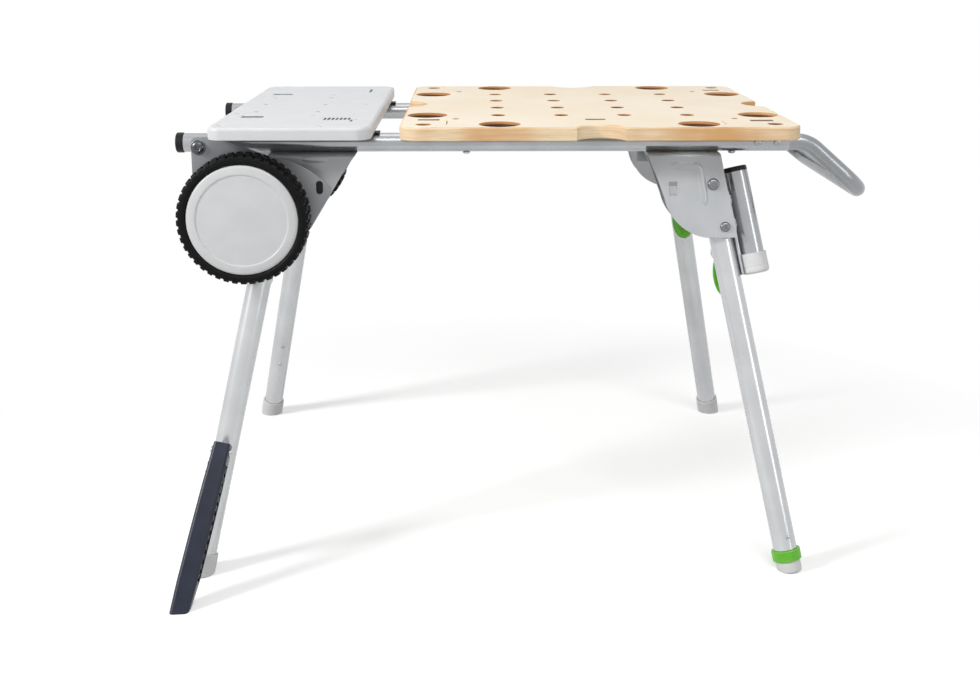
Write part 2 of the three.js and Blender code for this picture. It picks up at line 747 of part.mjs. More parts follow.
// Bolts through the brackets, heads on the outside
function legPivotBolt() {
  const face = channelHalf + sheet + gap;
  const { radius, head, shoulder, shoulderRise, crown, rise, nutRadius, nutHeight } = pivotBolt;
  const profile = [
    [0, -face - nutHeight], [nutRadius, -face - nutHeight], [nutRadius, -face], [radius, -face],
    [radius, face], [head, face], [shoulder, face + shoulderRise], [crown, face + rise], [0, face + rise],
  ];
  return turnedFront(profile, sides.hole);
}

function legGuideBolt() {
  const outside = channelHalf + sheet + gap;
  const inside = channelHalf - gap;
  const { radius, head, rimRise, face, rise, socket, socketFloor, nut, nutRadius } = guideBolt;
  const profile = [
    [0, inside - nut], [nutRadius, inside - nut], [nutRadius, inside], [radius, inside],
    [radius, outside], [head, outside], [head, outside + rimRise], [face, outside + rise],
    [socket, outside + rise], [socket, outside + socketFloor], [0, outside + socketFloor],
  ];
  return turnedFront(profile, sides.small);
}

// Leg tube with its lever ears; one leg also has a lug for the fold-out foot
function earPlate(lowX, highX, radius, y, z) {
  const widest = Math.max(Math.abs(lowX), Math.abs(highX));
  const root = Math.sqrt(leg.radius ** 2 - widest ** 2) - leg.wall / 2;
  const round = arcPairs(y, z, radius, -Math.PI / 2, Math.PI / 2, lever.earSteps);
  return slabYZ([[root, z - radius], ...round, [root, z + radius]], lowX, highX);
}

function legLength(end) {
  return end.bracket.pivotZ / Math.cos(legTilt) / Math.cos(legSplay);
}

// Place of the fold-out foot's hinge along its leg
function outriggerHinge(end) {
  return legLength(end) - outrigger.footRise;
}

function legTube(end, row, bottom) {
  const leverY = leg.radius + lever.lift;
  const outEar = lever.earInside + lever.earThickness;
  const pieces = [
    rodZ(leg.radius, -bottom, leg.crown, sides.tube),
    earPlate(-outEar, -lever.earInside, lever.earRadius, leverY, -end.lever.hinge),
    earPlate(lever.earInside, outEar, lever.earRadius, leverY, -end.lever.hinge),
  ];
  const hasLug = end.sign < 0 && row.sign < 0;
  if (hasLug) {
    const { lugHalf, lugRadius, offset } = outrigger;
    pieces.push(mirrored(earPlate(-lugHalf, lugHalf, lugRadius, offset, -outriggerHinge(end))));
  }
  const bore = rodZ(leg.radius - leg.wall, -bottom - overrun, leg.crown + overrun, sides.tube);
  const pivotRadius = boreRadius(pivotBolt.radius, runningGap, sides.hole);
  const pivotHole = rodY(pivotRadius, -leg.radius - overrun, leg.radius + overrun, sides.hole);
  const leverRadius = boreRadius(lever.pinRadius, runningGap, sides.small);
  const leverHole = rodX(leverRadius, -outEar - overrun, outEar + overrun, sides.small);
  leverHole.translate(0, leverY, -end.lever.hinge);
  const tools = [bore, pivotHole, leverHole];
  if (hasLug) {
    const pinRadius = boreRadius(outrigger.pinRadius, runningGap, sides.small);
    const pinHole = rodX(pinRadius, -outrigger.width, outrigger.width, sides.small);
    pinHole.translate(0, -outrigger.offset, -outriggerHinge(end));
    tools.push(pinHole);
  }
  return cut(join(...pieces), ...tools);
}

// Green latch lever, a leaf-shaped pad on a moulded cross pin
function latchLever(end) {
  const { length, halfWidth, tipHalf } = end.lever;
  const inside = lever.earInside - gap;
  const neck = lever.earRadius + 2 * gap;
  const right = [[inside, 0], [inside, -neck]];
  for (let i = 1; i <= lever.steps; i += 1) {
    const share = i / lever.steps;
    const swell = (halfWidth - tipHalf) * Math.sin(Math.PI * share) ** lever.swellPower;
    const tip = tipHalf * Math.sqrt(1 - share ** lever.tipPower);
    right.push([tip + swell, -neck - (length - neck) * share]);
  }
  const left = right.slice(0, -1).reverse().map(([x, z]) => [-x, z]);
  const leaf = slabXZ([...right, ...left], -lever.thickness / 2, lever.thickness / 2);
  leaf.rotateX(lever.lean);
  const outEar = lever.earInside + lever.earThickness;
  return join(
    rodX(lever.pinRadius, -outEar, outEar, sides.small),
    rodX(lever.barrelRadius, -inside, inside, sides.small),
    leaf,
  );
}

// Floor block in the leg's own frame, to cut feet flat where they stand
function floorBlock(end) {
  const big = 3 * topHeight;
  const block = box(-big, big, -big, big, -big, -end.bracket.pivotZ);
  block.applyMatrix4(legMatrix(end).invert());
  return block;
}

function footCapPiece(end) {
  const low = -legLength(end) - footCap.radius * floorSlope / 2;
  const high = -legLength(end) + footCap.height;
  const inside = leg.radius + gap;
  const seatZ = -legLength(end) + footCap.base;
  const profile = [
    [0, low], [footCap.radius - footCap.round, low], [footCap.radius, low + footCap.round],
    [footCap.radius, high], [inside, high], [inside, seatZ], [0, seatZ],
  ];
  return cut(turnedZ(profile, sides.tube), floorBlock(end));
}

// Adjuster: a ribbed ring turns on the spindle of the adjustable foot
function adjusterRing(end) {
  const low = -legLength(end) + adjuster.footHeight + gap;
  const points = [];
  const count = 2 * adjuster.ringLobes;
  for (let i = 0; i < count; i += 1) {
    const radius = adjuster.ringRadius - (i % 2) * adjuster.lobeDepth;
    const angle = i / count * Math.PI * 2;
    points.push(new THREE.Vector2(radius * Math.cos(angle), radius * Math.sin(angle)));
  }
  const ring = extruded(new THREE.Shape(points), adjuster.ringHeight);
  ring.translate(0, 0, low);
  const high = low + adjuster.ringHeight;
  const bossTop = high + adjuster.bossHeight;
  const boss = rodZ(leg.radius - leg.wall - gap, high - overrun, bossTop, sides.tube);
  const boreSize = boreRadius(adjuster.spindleRadius, runningGap, sides.hole);
  return cut(join(ring, boss), rodZ(boreSize, low - overrun, bossTop + overrun, sides.hole));
}

function adjusterFoot(end) {
  const low = -legLength(end) - adjuster.footRadius * floorSlope / 2;
  const high = -legLength(end) + adjuster.footHeight;
  const tip = high + adjuster.spindleLength;
  const { footRadius: radius, footRound: round, spindleRadius } = adjuster;
  const profile = [
    [0, low], [radius - round, low], [radius, low + round], [radius, high], [spindleRadius, high],
    [spindleRadius, tip], [0, tip],
  ];
  return cut(turnedZ(profile, sides.tube), floorBlock(end));
}

// Fold-out foot on the front left leg, it leans away from the leg down to the floor
function outriggerBar(end) {
  const o = outrigger;
  const reach = o.footRise / Math.cos(o.lean) + 2 * o.width;
  const half = o.width / 2;
  const section = new THREE.Shape([
    new THREE.Vector2(-half, -o.front + o.chamfer), new THREE.Vector2(-half + o.chamfer, -o.front),
    new THREE.Vector2(half - o.chamfer, -o.front), new THREE.Vector2(half, -o.front + o.chamfer),
    new THREE.Vector2(half, o.back), new THREE.Vector2(-half, o.back),
  ]);
  const bar = extruded(section, reach + o.above);
  bar.translate(0, 0, -reach);
  const slotHalf = o.lugHalf + gap;
  const slotFront = o.lugRadius + gap + runningGap;
  const slot = box(-slotHalf, slotHalf, -slotFront, 2 * o.back, -o.slotDepth, o.above + overrun);
  const topCut = box(-o.width, o.width, -2 * o.front, 0, 0, 2 * o.width);
  topCut.rotateX(-o.topSlope);
  topCut.translate(0, -o.front + o.chamfer, o.above);
  const heelCut = box(-o.width, o.width, 0, 2 * o.width, -reach, 0);
  heelCut.rotateX(-o.heelSlope);
  heelCut.translate(0, o.back, o.heelRise - o.footRise / Math.cos(o.lean));
  const pinHole = rodX(boreRadius(o.pinRadius, gap, sides.small), -o.width, o.width, sides.small);
  const floor = floorBlock(end);
  floor.applyMatrix4(outriggerMatrix(end).invert());
  return cut(bar, slot, topCut, heelCut, pinHole, floor);
}

// From the fold-out foot's frame at its hinge to its leg's frame
function outriggerMatrix(end) {
  const place = new THREE.Matrix4().makeTranslation(0, -outrigger.offset, -outriggerHinge(end));
  return place.multiply(new THREE.Matrix4().makeRotationX(-outrigger.lean));
}

function outriggerPin() {
  const half = outrigger.width / 2 + gap;
  const { pinRadius: radius, pinHead: head, pinRise: rise } = outrigger;
  const profile = [
    [0, -half - rise], [head, -half - rise], [head, -half], [radius, -half],
    [radius, half], [head, half], [head, half + rise], [0, half + rise],
  ];
  const geometry = turnedZ(profile, sides.small);
  geometry.rotateY(Math.PI / 2);
  return geometry;
}

// Short feet stand beside the right legs and carry the stand when it is folded
function shortFootAxis() {
  return leg.radius + gap + sheet + shortFoot.standoff + leg.radius;
}

function shortFootTube() {
  const bottom = shortFoot.below - footCap.base - gap;
  const axis = shortFootAxis();
  const low = leg.radius + 2 * gap + sheet;
  const half = shortFoot.padWidth / 2;
  const tall = shortFoot.padHeight / 2;
  const barrel = rodZ(leg.radius, -bottom, shortFoot.above, sides.tube);
  barrel.translate(axis, 0, 0);
  const bore = rodZ(leg.radius - leg.wall, -bottom - overrun, shortFoot.above + overrun, sides.tube);
  bore.translate(axis, 0, 0);
  const pad = (along) => box(low, axis, -half, half, -along - tall, -along + tall);
  return cut(join(barrel, pad(shortFoot.padFirst), pad(shortFoot.padSecond)), bore);
}

function shortFootCap() {
  const low = -shortFoot.below;
  const high = low + shortFoot.capHeight;
  const seatZ = low + footCap.base;
  const inside = leg.radius + gap;
  const profile = [
    [0, low], [footCap.radius - footCap.round, low], [footCap.radius, low + footCap.round],
    [footCap.radius, high], [inside, high], [inside, seatZ], [0, seatZ],
  ];
  const geometry = turnedZ(profile, sides.tube);
  geometry.translate(shortFootAxis(), 0, 0);
  return geometry;
}

for (const end of ends) {
  for (const row of rows) {
    const label = `${end.name}_${row.name}`;
    const shown = (geometry) => (row.sign > 0 ? mirrored(geometry) : geometry);
    const hub = new THREE.Group();
    hub.position.set(end.bracket.pivotX, row.sign * tube.spread, end.bracket.pivotZ);
    stand.add(hub);
    addPiece(hub, `leg_bracket_${label}`, shown(legBracket(end)), colours.bracket);

    // The leg's frame: origin on the pivot, Z along the tube
    const upright = new THREE.Group();
    upright.position.z = foldZ - end.bracket.pivotZ;
    upright.rotation.x = row.sign * legTilt;
    hub.add(upright);
    const limb = new THREE.Group();
    limb.position.z = -(foldZ - end.bracket.pivotZ) / Math.cos(legTilt);
    limb.rotation.y = -end.sign * legSplay;
    upright.add(limb);

    addPiece(limb, `pivot_bolt_${label}`, shown(legPivotBolt()), colours.steel);
    if (end.sign > 0) {
      const bolt = addPiece(limb, `guide_bolt_${label}`, shown(legGuideBolt()), colours.steel);
      bolt.position.set(guideBolt.across, 0, -guideBolt.along);
      addPiece(limb, `short_foot_${label}`, shown(shortFootTube()), colours.leg);
      addPiece(limb, `short_foot_cap_${label}`, shown(shortFootCap()), colours.foot);
    }
    const adjustable = end.sign > 0 && row.sign < 0;
    const ringTop = adjuster.footHeight + gap + adjuster.ringHeight + gap;
    const bottom = legLength(end) - (adjustable ? ringTop : footCap.base + gap);
    addPiece(limb, `leg_${label}`, shown(legTube(end, row, bottom)), colours.leg);
    const grip = addPiece(limb, `latch_lever_${label}`, shown(latchLever(end)), colours.green);
    grip.position.set(0, -row.sign * (leg.radius + lever.lift), -end.lever.hinge);
    if (adjustable) {
      addPiece(limb, "adjuster_ring", shown(adjusterRing(end)), colours.green);
      addPiece(limb, "adjuster_foot", shown(adjusterFoot(end)), colours.foot);
    } else {
      addPiece(limb, `foot_cap_${label}`, shown(footCapPiece(end)), colours.foot);
    }
    if (end.sign < 0 && row.sign < 0) {
      const swing = new THREE.Group();
      swing.applyMatrix4(outriggerMatrix(end));
      limb.add(swing);
      addPiece(swing, "outrigger_foot", outriggerBar(end), colours.navy);
      addPiece(swing, "outrigger_pin", outriggerPin(), colours.steel);
    }
  }
}

// Wheel plates bolted in front of the left brackets
function wheelPlate() {
  const p = plate;
  const { pivotX, pivotZ } = leftBracket;
  const left = dockLeft - p.reach;
  const top = tubeZ + p.rise;
  const bottom = pivotZ + p.bottomZ;
  const shoulder = Math.atan2(p.shoulderZ, p.shoulderX);
  const arcEnd = Math.atan2(p.arcEndZ, p.arcEndX);
  const cornerX = left + p.corner;
  const corner = (z, from) => arcPairs(cornerX, z, p.corner, from, from - Math.PI / 2, p.cornerSteps);
  const outline = [
    ...corner(top - p.corner, Math.PI), [cornerX + p.ear, top],
    ...arcPairs(pivotX, pivotZ, p.arcRadius, shoulder, arcEnd, p.arcSteps),
    [pivotX + p.lowX, pivotZ + p.lowZ], [pivotX + p.heelX, bottom],
    ...corner(bottom + p.corner, Math.PI * 3 / 2),
  ].reverse();
  const round = p.slotWidth / 2;
  const rise = p.slotHeight / 2 - round;
  const slotX = pivotX + p.slotX;
  const slotZ = pivotZ + p.slotZ;
  const slot = [
    ...arcPoints(slotX, slotZ + rise, round, 0, Math.PI, p.slotSteps),
    ...arcPoints(slotX, slotZ - rise, round, Math.PI, 2 * Math.PI, p.slotSteps),
  ];
  const axleBore = boreRadius(axle.radius, gap, sides.hole);
  const axleHole = circlePoints(wheelX, wheelZ, axleBore, sides.hole);
  const boltBore = boreRadius(plateBolt.radius, gap, sides.small);
  const boltHole = circlePoints(plateBoltX, tubeZ, boltBore, sides.small);
  return slabXZ(outline, -p.backY - p.thickness, -p.backY, [slot, axleHole, boltHole]);
}

function wheelPlateBolt() {
  const face = plate.backY + plate.thickness + gap;
  const back = plate.backY - gap;
  const inner = tube.spread + tube.radius + gap;
  const end = tube.spread - tube.radius;
  const { radius, head, rise, sleeve, flats } = plateBolt;
  const profile = [
    [0, end], [radius, end], [radius, inner], [sleeve, inner], [sleeve, back], [radius, back],
    [radius, face], [head, face], [head, face + rise], [0, face + rise],
  ];
  return turnedFront(profile, flats);
}

// Wheel pieces, turned about Y and drawn for the front wheel
function tyre() {
  const root = wheel.radius - wheel.lugDepth;
  const lug = [
    [-wheel.flankShare, root], [0, wheel.radius],
    [wheel.lugShare, wheel.radius], [wheel.lugShare + wheel.flankShare, root],
  ];
  const points = [];
  for (let i = 0; i < wheel.lugs; i += 1) {
    for (const [share, radius] of lug) {
      const angle = (i + share) / wheel.lugs * Math.PI * 2;
      points.push(new THREE.Vector2(radius * Math.cos(angle), radius * Math.sin(angle)));
    }
  }
  const shape = new THREE.Shape(points);
  shape.holes.push(new THREE.Path(circlePoints(0, 0, wheel.tyreInner, sides.large)));
  const geometry = extruded(shape, wheel.width);
  geometry.rotateX(Math.PI / 2);
  geometry.translate(0, -wheel.frontY + wheel.width, 0);
  return geometry;
}

function rim() {
  const bore = boreRadius(axle.radius, runningGap, sides.tube);
  const outer = wheel.tyreInner * Math.cos(Math.PI / sides.large) - gap;
  const back = wheel.frontY - wheel.width + wheel.webThickness / 2;
  const front = back + wheel.rimDepth;
  const hubFront = wheel.frontY - wheel.hubFaceInset - axle.headHeight;
  const middle = (back + front) / 2;
  const half = wheel.webThickness / 2;
  const hub = wheel.hubRadius;
  const inside = outer - wheel.rimWall;
  const profile = [
    [bore, back], [hub, back], [hub, middle - half], [inside, middle - half], [inside, back],
    [outer, back], [outer, front], [inside, front], [inside, middle + half], [hub, middle + half],
    [hub, hubFront], [bore, hubFront], [bore, back],
  ];
  return turnedFront(profile, sides.tube);
}

function wheelCap() {
  const back = wheel.frontY - wheel.width + wheel.webThickness / 2 + wheel.rimDepth + gap;
  const edge = back + wheel.capThickness;
  const ring = edge + wheel.capDome / 2;
  const profile = [
    [0, back], [wheel.capRadius, back], [wheel.capRadius, edge], [wheel.capRing, ring],
    [wheel.capRing - wheel.capStep, ring - wheel.capStep], [0, edge + wheel.capDome],
  ];
  return turnedFront(profile, sides.large);
}

for (const row of rows) {
  const shown = (geometry) => (row.sign > 0 ? mirrored(geometry) : geometry);
  addPiece(stand, `wheel_plate_${row.name}`, shown(wheelPlate()), colours.bracket);
  const bolt = addPiece(stand, `wheel_plate_bolt_${row.name}`, shown(wheelPlateBolt()), colours.steel);
  bolt.position.set(plateBoltX, 0, tubeZ);
  const roller = new THREE.Group();
  roller.position.set(wheelX, 0, wheelZ);
  stand.add(roller);
  addPiece(roller, `tyre_${row.name}`, shown(tyre()), colours.tyre);
  addPiece(roller, `wheel_rim_${row.name}`, shown(rim()), colours.foot);
  addPiece(roller, `wheel_cap_${row.name}`, shown(wheelCap()), colours.cap);
}

// One axle through both plates, a head outside each hub
function wheelAxle() {
  const hub = wheel.frontY - wheel.hubFaceInset - axle.headHeight + gap;
  const end = hub + axle.headHeight;
  const { radius, headRadius: head } = axle;
  const profile = [
    [0, -end], [head, -end], [head, -hub], [radius, -hub],
    [radius, hub], [head, hub], [head, end], [0, end],
  ];
  return turnedFront(profile, sides.hole);
}

addPiece(stand, "wheel_axle", wheelAxle(), colours.steel).position.set(wheelX, 0, wheelZ);

// The origin goes to the middle of the footprint
stand.updateMatrixWorld(true);
const reachBox = new THREE.Box3().setFromObject(stand, true);
const footprint = reachBox.getCenter(new THREE.Vector3());
stand.position.set(-footprint.x, -footprint.y, 0);

export default stand;
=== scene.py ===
# Looks of the folding table saw stand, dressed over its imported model. Metres, +Z up.
import json
from math import acos, atan2, cos, pi, sin, sqrt, tan

import bmesh
import bpy
from mathutils import Matrix, Vector
from mathutils.geometry import tessellate_polygon


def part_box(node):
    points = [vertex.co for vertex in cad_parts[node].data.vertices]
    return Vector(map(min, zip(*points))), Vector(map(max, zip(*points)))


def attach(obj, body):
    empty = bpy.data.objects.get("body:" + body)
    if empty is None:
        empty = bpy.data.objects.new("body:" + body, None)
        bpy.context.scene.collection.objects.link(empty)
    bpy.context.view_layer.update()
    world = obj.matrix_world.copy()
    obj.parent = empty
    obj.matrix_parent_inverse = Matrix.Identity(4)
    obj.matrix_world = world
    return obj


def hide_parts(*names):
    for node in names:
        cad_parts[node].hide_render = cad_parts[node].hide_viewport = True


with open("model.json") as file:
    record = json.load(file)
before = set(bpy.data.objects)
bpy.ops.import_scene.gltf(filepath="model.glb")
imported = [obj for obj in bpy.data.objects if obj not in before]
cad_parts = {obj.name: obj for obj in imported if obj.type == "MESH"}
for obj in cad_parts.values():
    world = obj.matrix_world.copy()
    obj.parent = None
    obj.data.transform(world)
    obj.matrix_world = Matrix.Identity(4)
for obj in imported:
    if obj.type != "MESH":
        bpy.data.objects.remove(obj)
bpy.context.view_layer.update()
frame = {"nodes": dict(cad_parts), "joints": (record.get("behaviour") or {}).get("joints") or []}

mm = 0.001
degree = pi / 180
turn = 2 * pi
quarter = turn / 4


class Sizes:
    def __init__(self, **sizes):
        self.__dict__.update(sizes)


def shift(x=0.0, y=0.0, z=0.0):
    return Matrix.Translation((x, y, z))


def spin(angle, axis):
    return Matrix.Rotation(angle, 4, axis)


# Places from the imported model, and turns of drawn parts. The rear row mirrors the front one
wood_low, wood_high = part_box("wood_top")
middle = (wood_low + wood_high) / 2
build = shift(middle.x, middle.y) @ Matrix.Scale(mm, 4)
joints = {joint["name"]: joint for joint in frame["joints"]}
along_x = spin(quarter, "Y")
facing = {"front": spin(quarter, "X"), "rear": spin(-quarter, "X")}
mirrored = Matrix.Scale(-1, 4, (0, 1, 0))
rows = {"front": Matrix(), "rear": mirrored}

# Driving sizes in millimetres, as in the part's source
top = 660
gap = 0.3
leg_tilt = 14 * degree
leg_splay = 11.46 * degree
fold_z = 577
tube = Sizes(radius=14, wall=1.5, spread=190, left=-612, right=289, z=625.7)
leg = Sizes(radius=17.5, wall=1.5, crown=13, lift=8.5)
ends = {
    "right": Sizes(sign=1, x=174, z=560, hinge=102, lever_half=18.3, lever_length=72),
    "left": Sizes(sign=-1, x=-489.7, z=485, hinge=62, lever_half=12.5, lever_length=66),
}
for end in ends.values():
    end.length = end.z / cos(leg_tilt) / cos(leg_splay)
sides = (-1, 1)
steps = Sizes(round=40, fine=96, small=24)

# Camera: the photograph's viewing angle
camera_place = (-0.0784, -1.9755, 0.8978)
camera_pitch = 13.504 * degree
camera_pan = 0.689 * degree
camera_film = 36
camera_focal_share = 1238.8 / 980
camera_shift = -0.1


def in_scene(name, data):
    thing = bpy.data.objects.new(name, data)
    bpy.context.scene.collection.objects.link(thing)
    return thing


def add_camera():
    data = bpy.data.cameras.new("photo_camera")
    data.sensor_width = camera_film
    data.lens = camera_film * camera_focal_share
    data.shift_y = camera_shift
    camera = in_scene("photo_camera", data)
    camera.location = camera_place
    camera.rotation_euler = (quarter - camera_pitch, 0, -camera_pan)
    bpy.context.scene.camera = camera


# Material nodes
class Nodes:
    """The nodes of a material or world."""

    def __init__(self, owner, own=True):
        owner.use_nodes = True
        self.tree, self.own = owner.node_tree, own

    def feed(self, socket, value):
        """Links another node's socket, or sets a plain value."""
        if isinstance(value, bpy.types.NodeSocket):
            self.tree.links.new(value, socket)
        else:
            socket.default_value = value

    def add(self, kind, inputs=None, out=0, **settings):
        """Adds a node, and gives one of its outputs."""
        node = self.tree.nodes.new("ShaderNode" + kind)
        for key, value in settings.items():
            setattr(node, key, value)
        for key, value in (inputs or {}).items():
            self.feed(node.inputs[key], value)
        return node.outputs[out]

    def place(self, stretch=(1, 1, 1)):
        """Coordinates in millimetres, stretched for grain: a piece's own, or a kept node's."""
        if self.own:
            source = self.add("Attribute", out="Vector", attribute_name="own_place")
        else:
            source = self.add("TexCoord", out="Object")
            stretch = tuple(share / mm for share in stretch)
        return self.add("Mapping", {"Vector": source, "Scale": stretch})

    def noise(self, vector, size, detail, roughness=0.5):
        """Noise whose marks are about size millimetres wide."""
        inputs = {"Vector": vector, "Scale": 1 / size, "Detail": detail, "Roughness": roughness}
        return self.add("TexNoise", inputs, "Fac")

    def remap(self, value, low, high, to_low, to_high):
        inputs = {"Value": value, "From Min": low, "From Max": high, "To Min": to_low, "To Max": to_high}
        return self.add("MapRange", inputs)

    def patches(self, size, detail, between=(0.3, 0.7), to=(0, 1), roughness=0.5):
        """Cloudy patches, mapped from one range to another."""
        return self.remap(self.noise(self.place(), size, detail, roughness), *between, *to)

    def mix(self, share, first, second):
        return self.add("Mix", {0: share, 6: first, 7: second}, 2, data_type="RGBA")

    def math(self, operation, first, second):
        return self.add("Math", {0: first, 1: second}, operation=operation)

    def edges(self, radius, share):
        """The share on sharp edges, and zero elsewhere."""
        rounded = self.add("Bevel", {"Radius": radius * mm}, samples=4)
        flat = self.add("NewGeometry", out="Normal")
        dot = self.add("VectorMath", {0: rounded, 1: flat}, "Value", operation="DOT_PRODUCT")
        return self.math("MULTIPLY", self.remap(dot, 0.955, 0.78, 0, 1), share)

    def bump(self, height, strength, distance):
        return self.add("Bump", {"Height": height, "Strength": strength, "Distance": distance * mm})

    def seen(self):
        """One for what is seen straight, in a reflection or through glass."""
        rays = self.add("LightPath").node.outputs
        seen = self.math("MAXIMUM", rays["Is Camera Ray"], rays["Is Glossy Ray"])
        return self.math("MAXIMUM", seen, rays["Is Transmission Ray"])

    def finished(self, **sockets):
        surface = self.tree.nodes["Principled BSDF"]
        for key, value in sockets.items():
            self.feed(surface.inputs[key.replace("_", " ")], value)


finish = {}


def new_finish(name, own=True):
    finish[name] = bpy.data.materials.new(name)
    return Nodes(finish[name], own)


def colour(*levels):
    """Levels from 0 to 255 as Blender's linear values."""
    shares = [level / 255 for level in levels]
    return tuple(((c + 0.055) / 1.055) ** 2.4 if c > 0.04 else c / 12.92 for c in shares) + (1,)


def metal(name, base, shade, metallic, rough, grain=(1, 1, 1), own=True):
    """Metal with a cloudy tint, faint streaks along its grain and brighter edges."""
    n = new_finish(name, own)
    streak = n.noise(n.place(grain), 10, 2, 0.3)
    tint = n.mix(n.patches(60, 2), colour(*base), colour(*shade))
    worn = n.edges(0.8, n.patches(9, 4, (0.35, 0.7), (0.1, 0.7), 0.7))
    n.finished(
        Base_Color=n.mix(worn, tint, colour(236, 238, 240)), Metallic=metallic,
        Roughness=n.remap(streak, 0.25, 0.75, rough - 0.008, rough + 0.008),
        Normal=n.bump(streak, 0.02, 0.05),
    )


def plastic(name, base, shade, rough, grain=0.6, depth=0.25, pale=0.35, shine=0.45, own=True):
    """Plastic with a fine leather-like grain, scuffed edges and an uneven gloss."""
    n = new_finish(name, own)
    base = colour(*base)
    tint = n.mix(n.patches(35, 3), base, colour(*shade))
    light = tuple(c + (1 - c) * pale for c in base[:3]) + (1,)
    worn = n.edges(0.9, n.patches(6, 4, (0.45, 0.75), (0, 0.55), 0.7))
    n.finished(
        Base_Color=n.mix(worn, tint, light), Specular_IOR_Level=shine,
        Roughness=n.patches(14, 4, to=(rough - 0.03, rough + 0.04)),
        Normal=n.bump(n.noise(n.place(), grain, 2, 0.6), depth, 0.06),
    )


def wood_face():
    """Soft long grain with small flecks, warmer along the worn edges."""
    n = new_finish("wood_face")
    wavy = n.math("MULTIPLY", n.noise(n.place((0.25, 1, 1)), 120, 3), 30.0)
    sway = n.add("CombineXYZ", {"Y": wavy})
    bent = n.add("VectorMath", {0: n.place((0.05, 1, 1)), 1: sway}, operation="ADD")
    grain = n.noise(bent, 3, 5, 0.65)
    fleck = n.noise(n.place((0.16, 1, 1)), 0.9, 2, 0.7)
    tint = n.mix(n.patches(150, 2, (0.35, 0.65)), colour(250, 238, 217), colour(246, 230, 204))
    tint = n.mix(n.remap(grain, 0.5, 0.75, 0, 0.35), tint, colour(236, 212, 176))
    tint = n.mix(n.remap(fleck, 0.66, 0.74, 0, 0.25), tint, colour(190, 150, 104))
    tint = n.mix(n.edges(2.2, 0.5), tint, colour(222, 180, 126))
    height = n.math("ADD", n.math("MULTIPLY", grain, 0.6), n.math("MULTIPLY", fleck, 0.4))
    n.finished(
        Base_Color=tint, Roughness=n.remap(grain, 0.3, 0.7, 0.46, 0.6), Normal=n.bump(height, 0.14, 0.12))


def wood_edge(name, pale, scorched, line):
    """Thin layers, with tan scorching that comes and goes."""
    n = new_finish(name)
    layers = n.noise(n.place((0.03, 0.03, 1.0)), 1.6, 3, 0.6)
    scorch = n.noise(n.place((1, 1, 0.5)), 130, 3)
    fine = n.noise(n.place((1, 1, 0.2)), 0.8, 3, 0.7)
    tint = n.mix(n.remap(scorch, 0.36, 0.62, 0, 1), colour(*pale), colour(*scorched))
    tint = n.mix(n.remap(layers, 0.42, 0.66, 0, 0.4), tint, colour(*line))
    tint = n.mix(n.remap(fine, 0.6, 0.75, 0, 0.3), tint, colour(*line))
    n.finished(
        Base_Color=tint, Roughness=n.remap(fine, 0.3, 0.7, 0.5, 0.7),
        Normal=n.bump(n.math("ADD", layers, fine), 0.22, 0.12),
    )


def rubber():
    """Near black with a fine pebble, dusty on raised edges."""
    n = new_finish("tyre_rubber")
    dust = n.edges(0.9, n.patches(7, 4, to=(0.15, 0.8), roughness=0.7))
    tint = n.mix(n.patches(22, 3), colour(5, 5, 6), colour(12, 12, 13))
    n.finished(
        Base_Color=n.mix(dust, tint, colour(58, 58, 60)), Specular_IOR_Level=0.12,
        Roughness=n.patches(5, 3, to=(0.42, 0.6)),
        Normal=n.bump(n.noise(n.place(), 0.5, 3, 0.7), 0.4, 0.1),
    )


# Each metal's numbers are its two tones, metallic share, roughness and grain
fine_x, fine_y, fine_z = (0.04, 1, 1), (1, 0.04, 1), (1, 1, 0.04)
pressed, folded = (0.3, 1, 0.3), (0.3, 0.3, 1)
black = ((13, 14, 15), (22, 23, 24))
wood_face()
wood_edge("wood_edge", (244, 222, 186), (216, 168, 114), (198, 146, 90))
wood_edge("wood_slope", (214, 160, 96), (176, 116, 60), (146, 92, 44))
# Painted shade: the bores' dark browns stand in for the shadow inside the worktop's holes and shallow marks
wood_edge("wood_bore", (116, 70, 32), (74, 40, 16), (52, 27, 11))
# Painted shade: a darker grey for the walls and floors of the tray's holes, slots, dimples and grooves
plastic("dock_bore", (96, 98, 101), (78, 80, 83), 0.5, grain=0.9, depth=0.1)
plastic("dock_grey", (219, 221, 223), (214, 216, 218), 0.4, grain=0.9, depth=0.1)
metal("frame_tube", (182, 184, 187), (168, 170, 173), 0.7, 0.24, fine_x)
metal("rail_tube", (160, 162, 165), (146, 148, 152), 0.6, 0.34, fine_y, own=False)
metal("handle_tube", (156, 158, 161), (140, 143, 146), 0.75, 0.28)
metal("leg_tube", (206, 208, 210), (196, 198, 200), 0.6, 0.24, fine_z)
# Painted shade: the short legs take a darker tone than the leg tube, standing in for the shade on them
metal("short_leg", (176, 178, 180), (160, 162, 165), 0.75, 0.22, fine_z)
metal("pressed_sheet", (188, 190, 193), (176, 179, 182), 0.25, 0.36, pressed)
metal("plate_sheet", (156, 158, 161), (142, 144, 148), 0.25, 0.36, folded)
metal("bolt_steel", (190, 192, 194), (156, 158, 161), 0.95, 0.2)
metal("dark_bolt", (98, 100, 104), (70, 72, 76), 0.85, 0.28)
metal("bracket_bolt", (146, 148, 151), (118, 120, 124), 0.9, 0.22)
plastic("black_plastic", *black, 0.42, pale=0.2, shine=0.25)
plastic("black_strip", *black, 0.5, pale=0.2, shine=0.25, own=False)
plastic("foot_plastic", (224, 225, 224), (216, 217, 216), 0.44)
plastic("rim_plastic", (206, 208, 209), (194, 196, 198), 0.5)
plastic("cap_plastic", (214, 215, 216), (208, 209, 210), 0.34, grain=0.5, depth=0.06)
plastic("green_plastic", (116, 200, 58), (102, 188, 46), 0.38, pale=0.25)
plastic("navy_plastic", (24, 29, 44), (34, 40, 57), 0.34, pale=0.15, shine=0.3)
rubber()


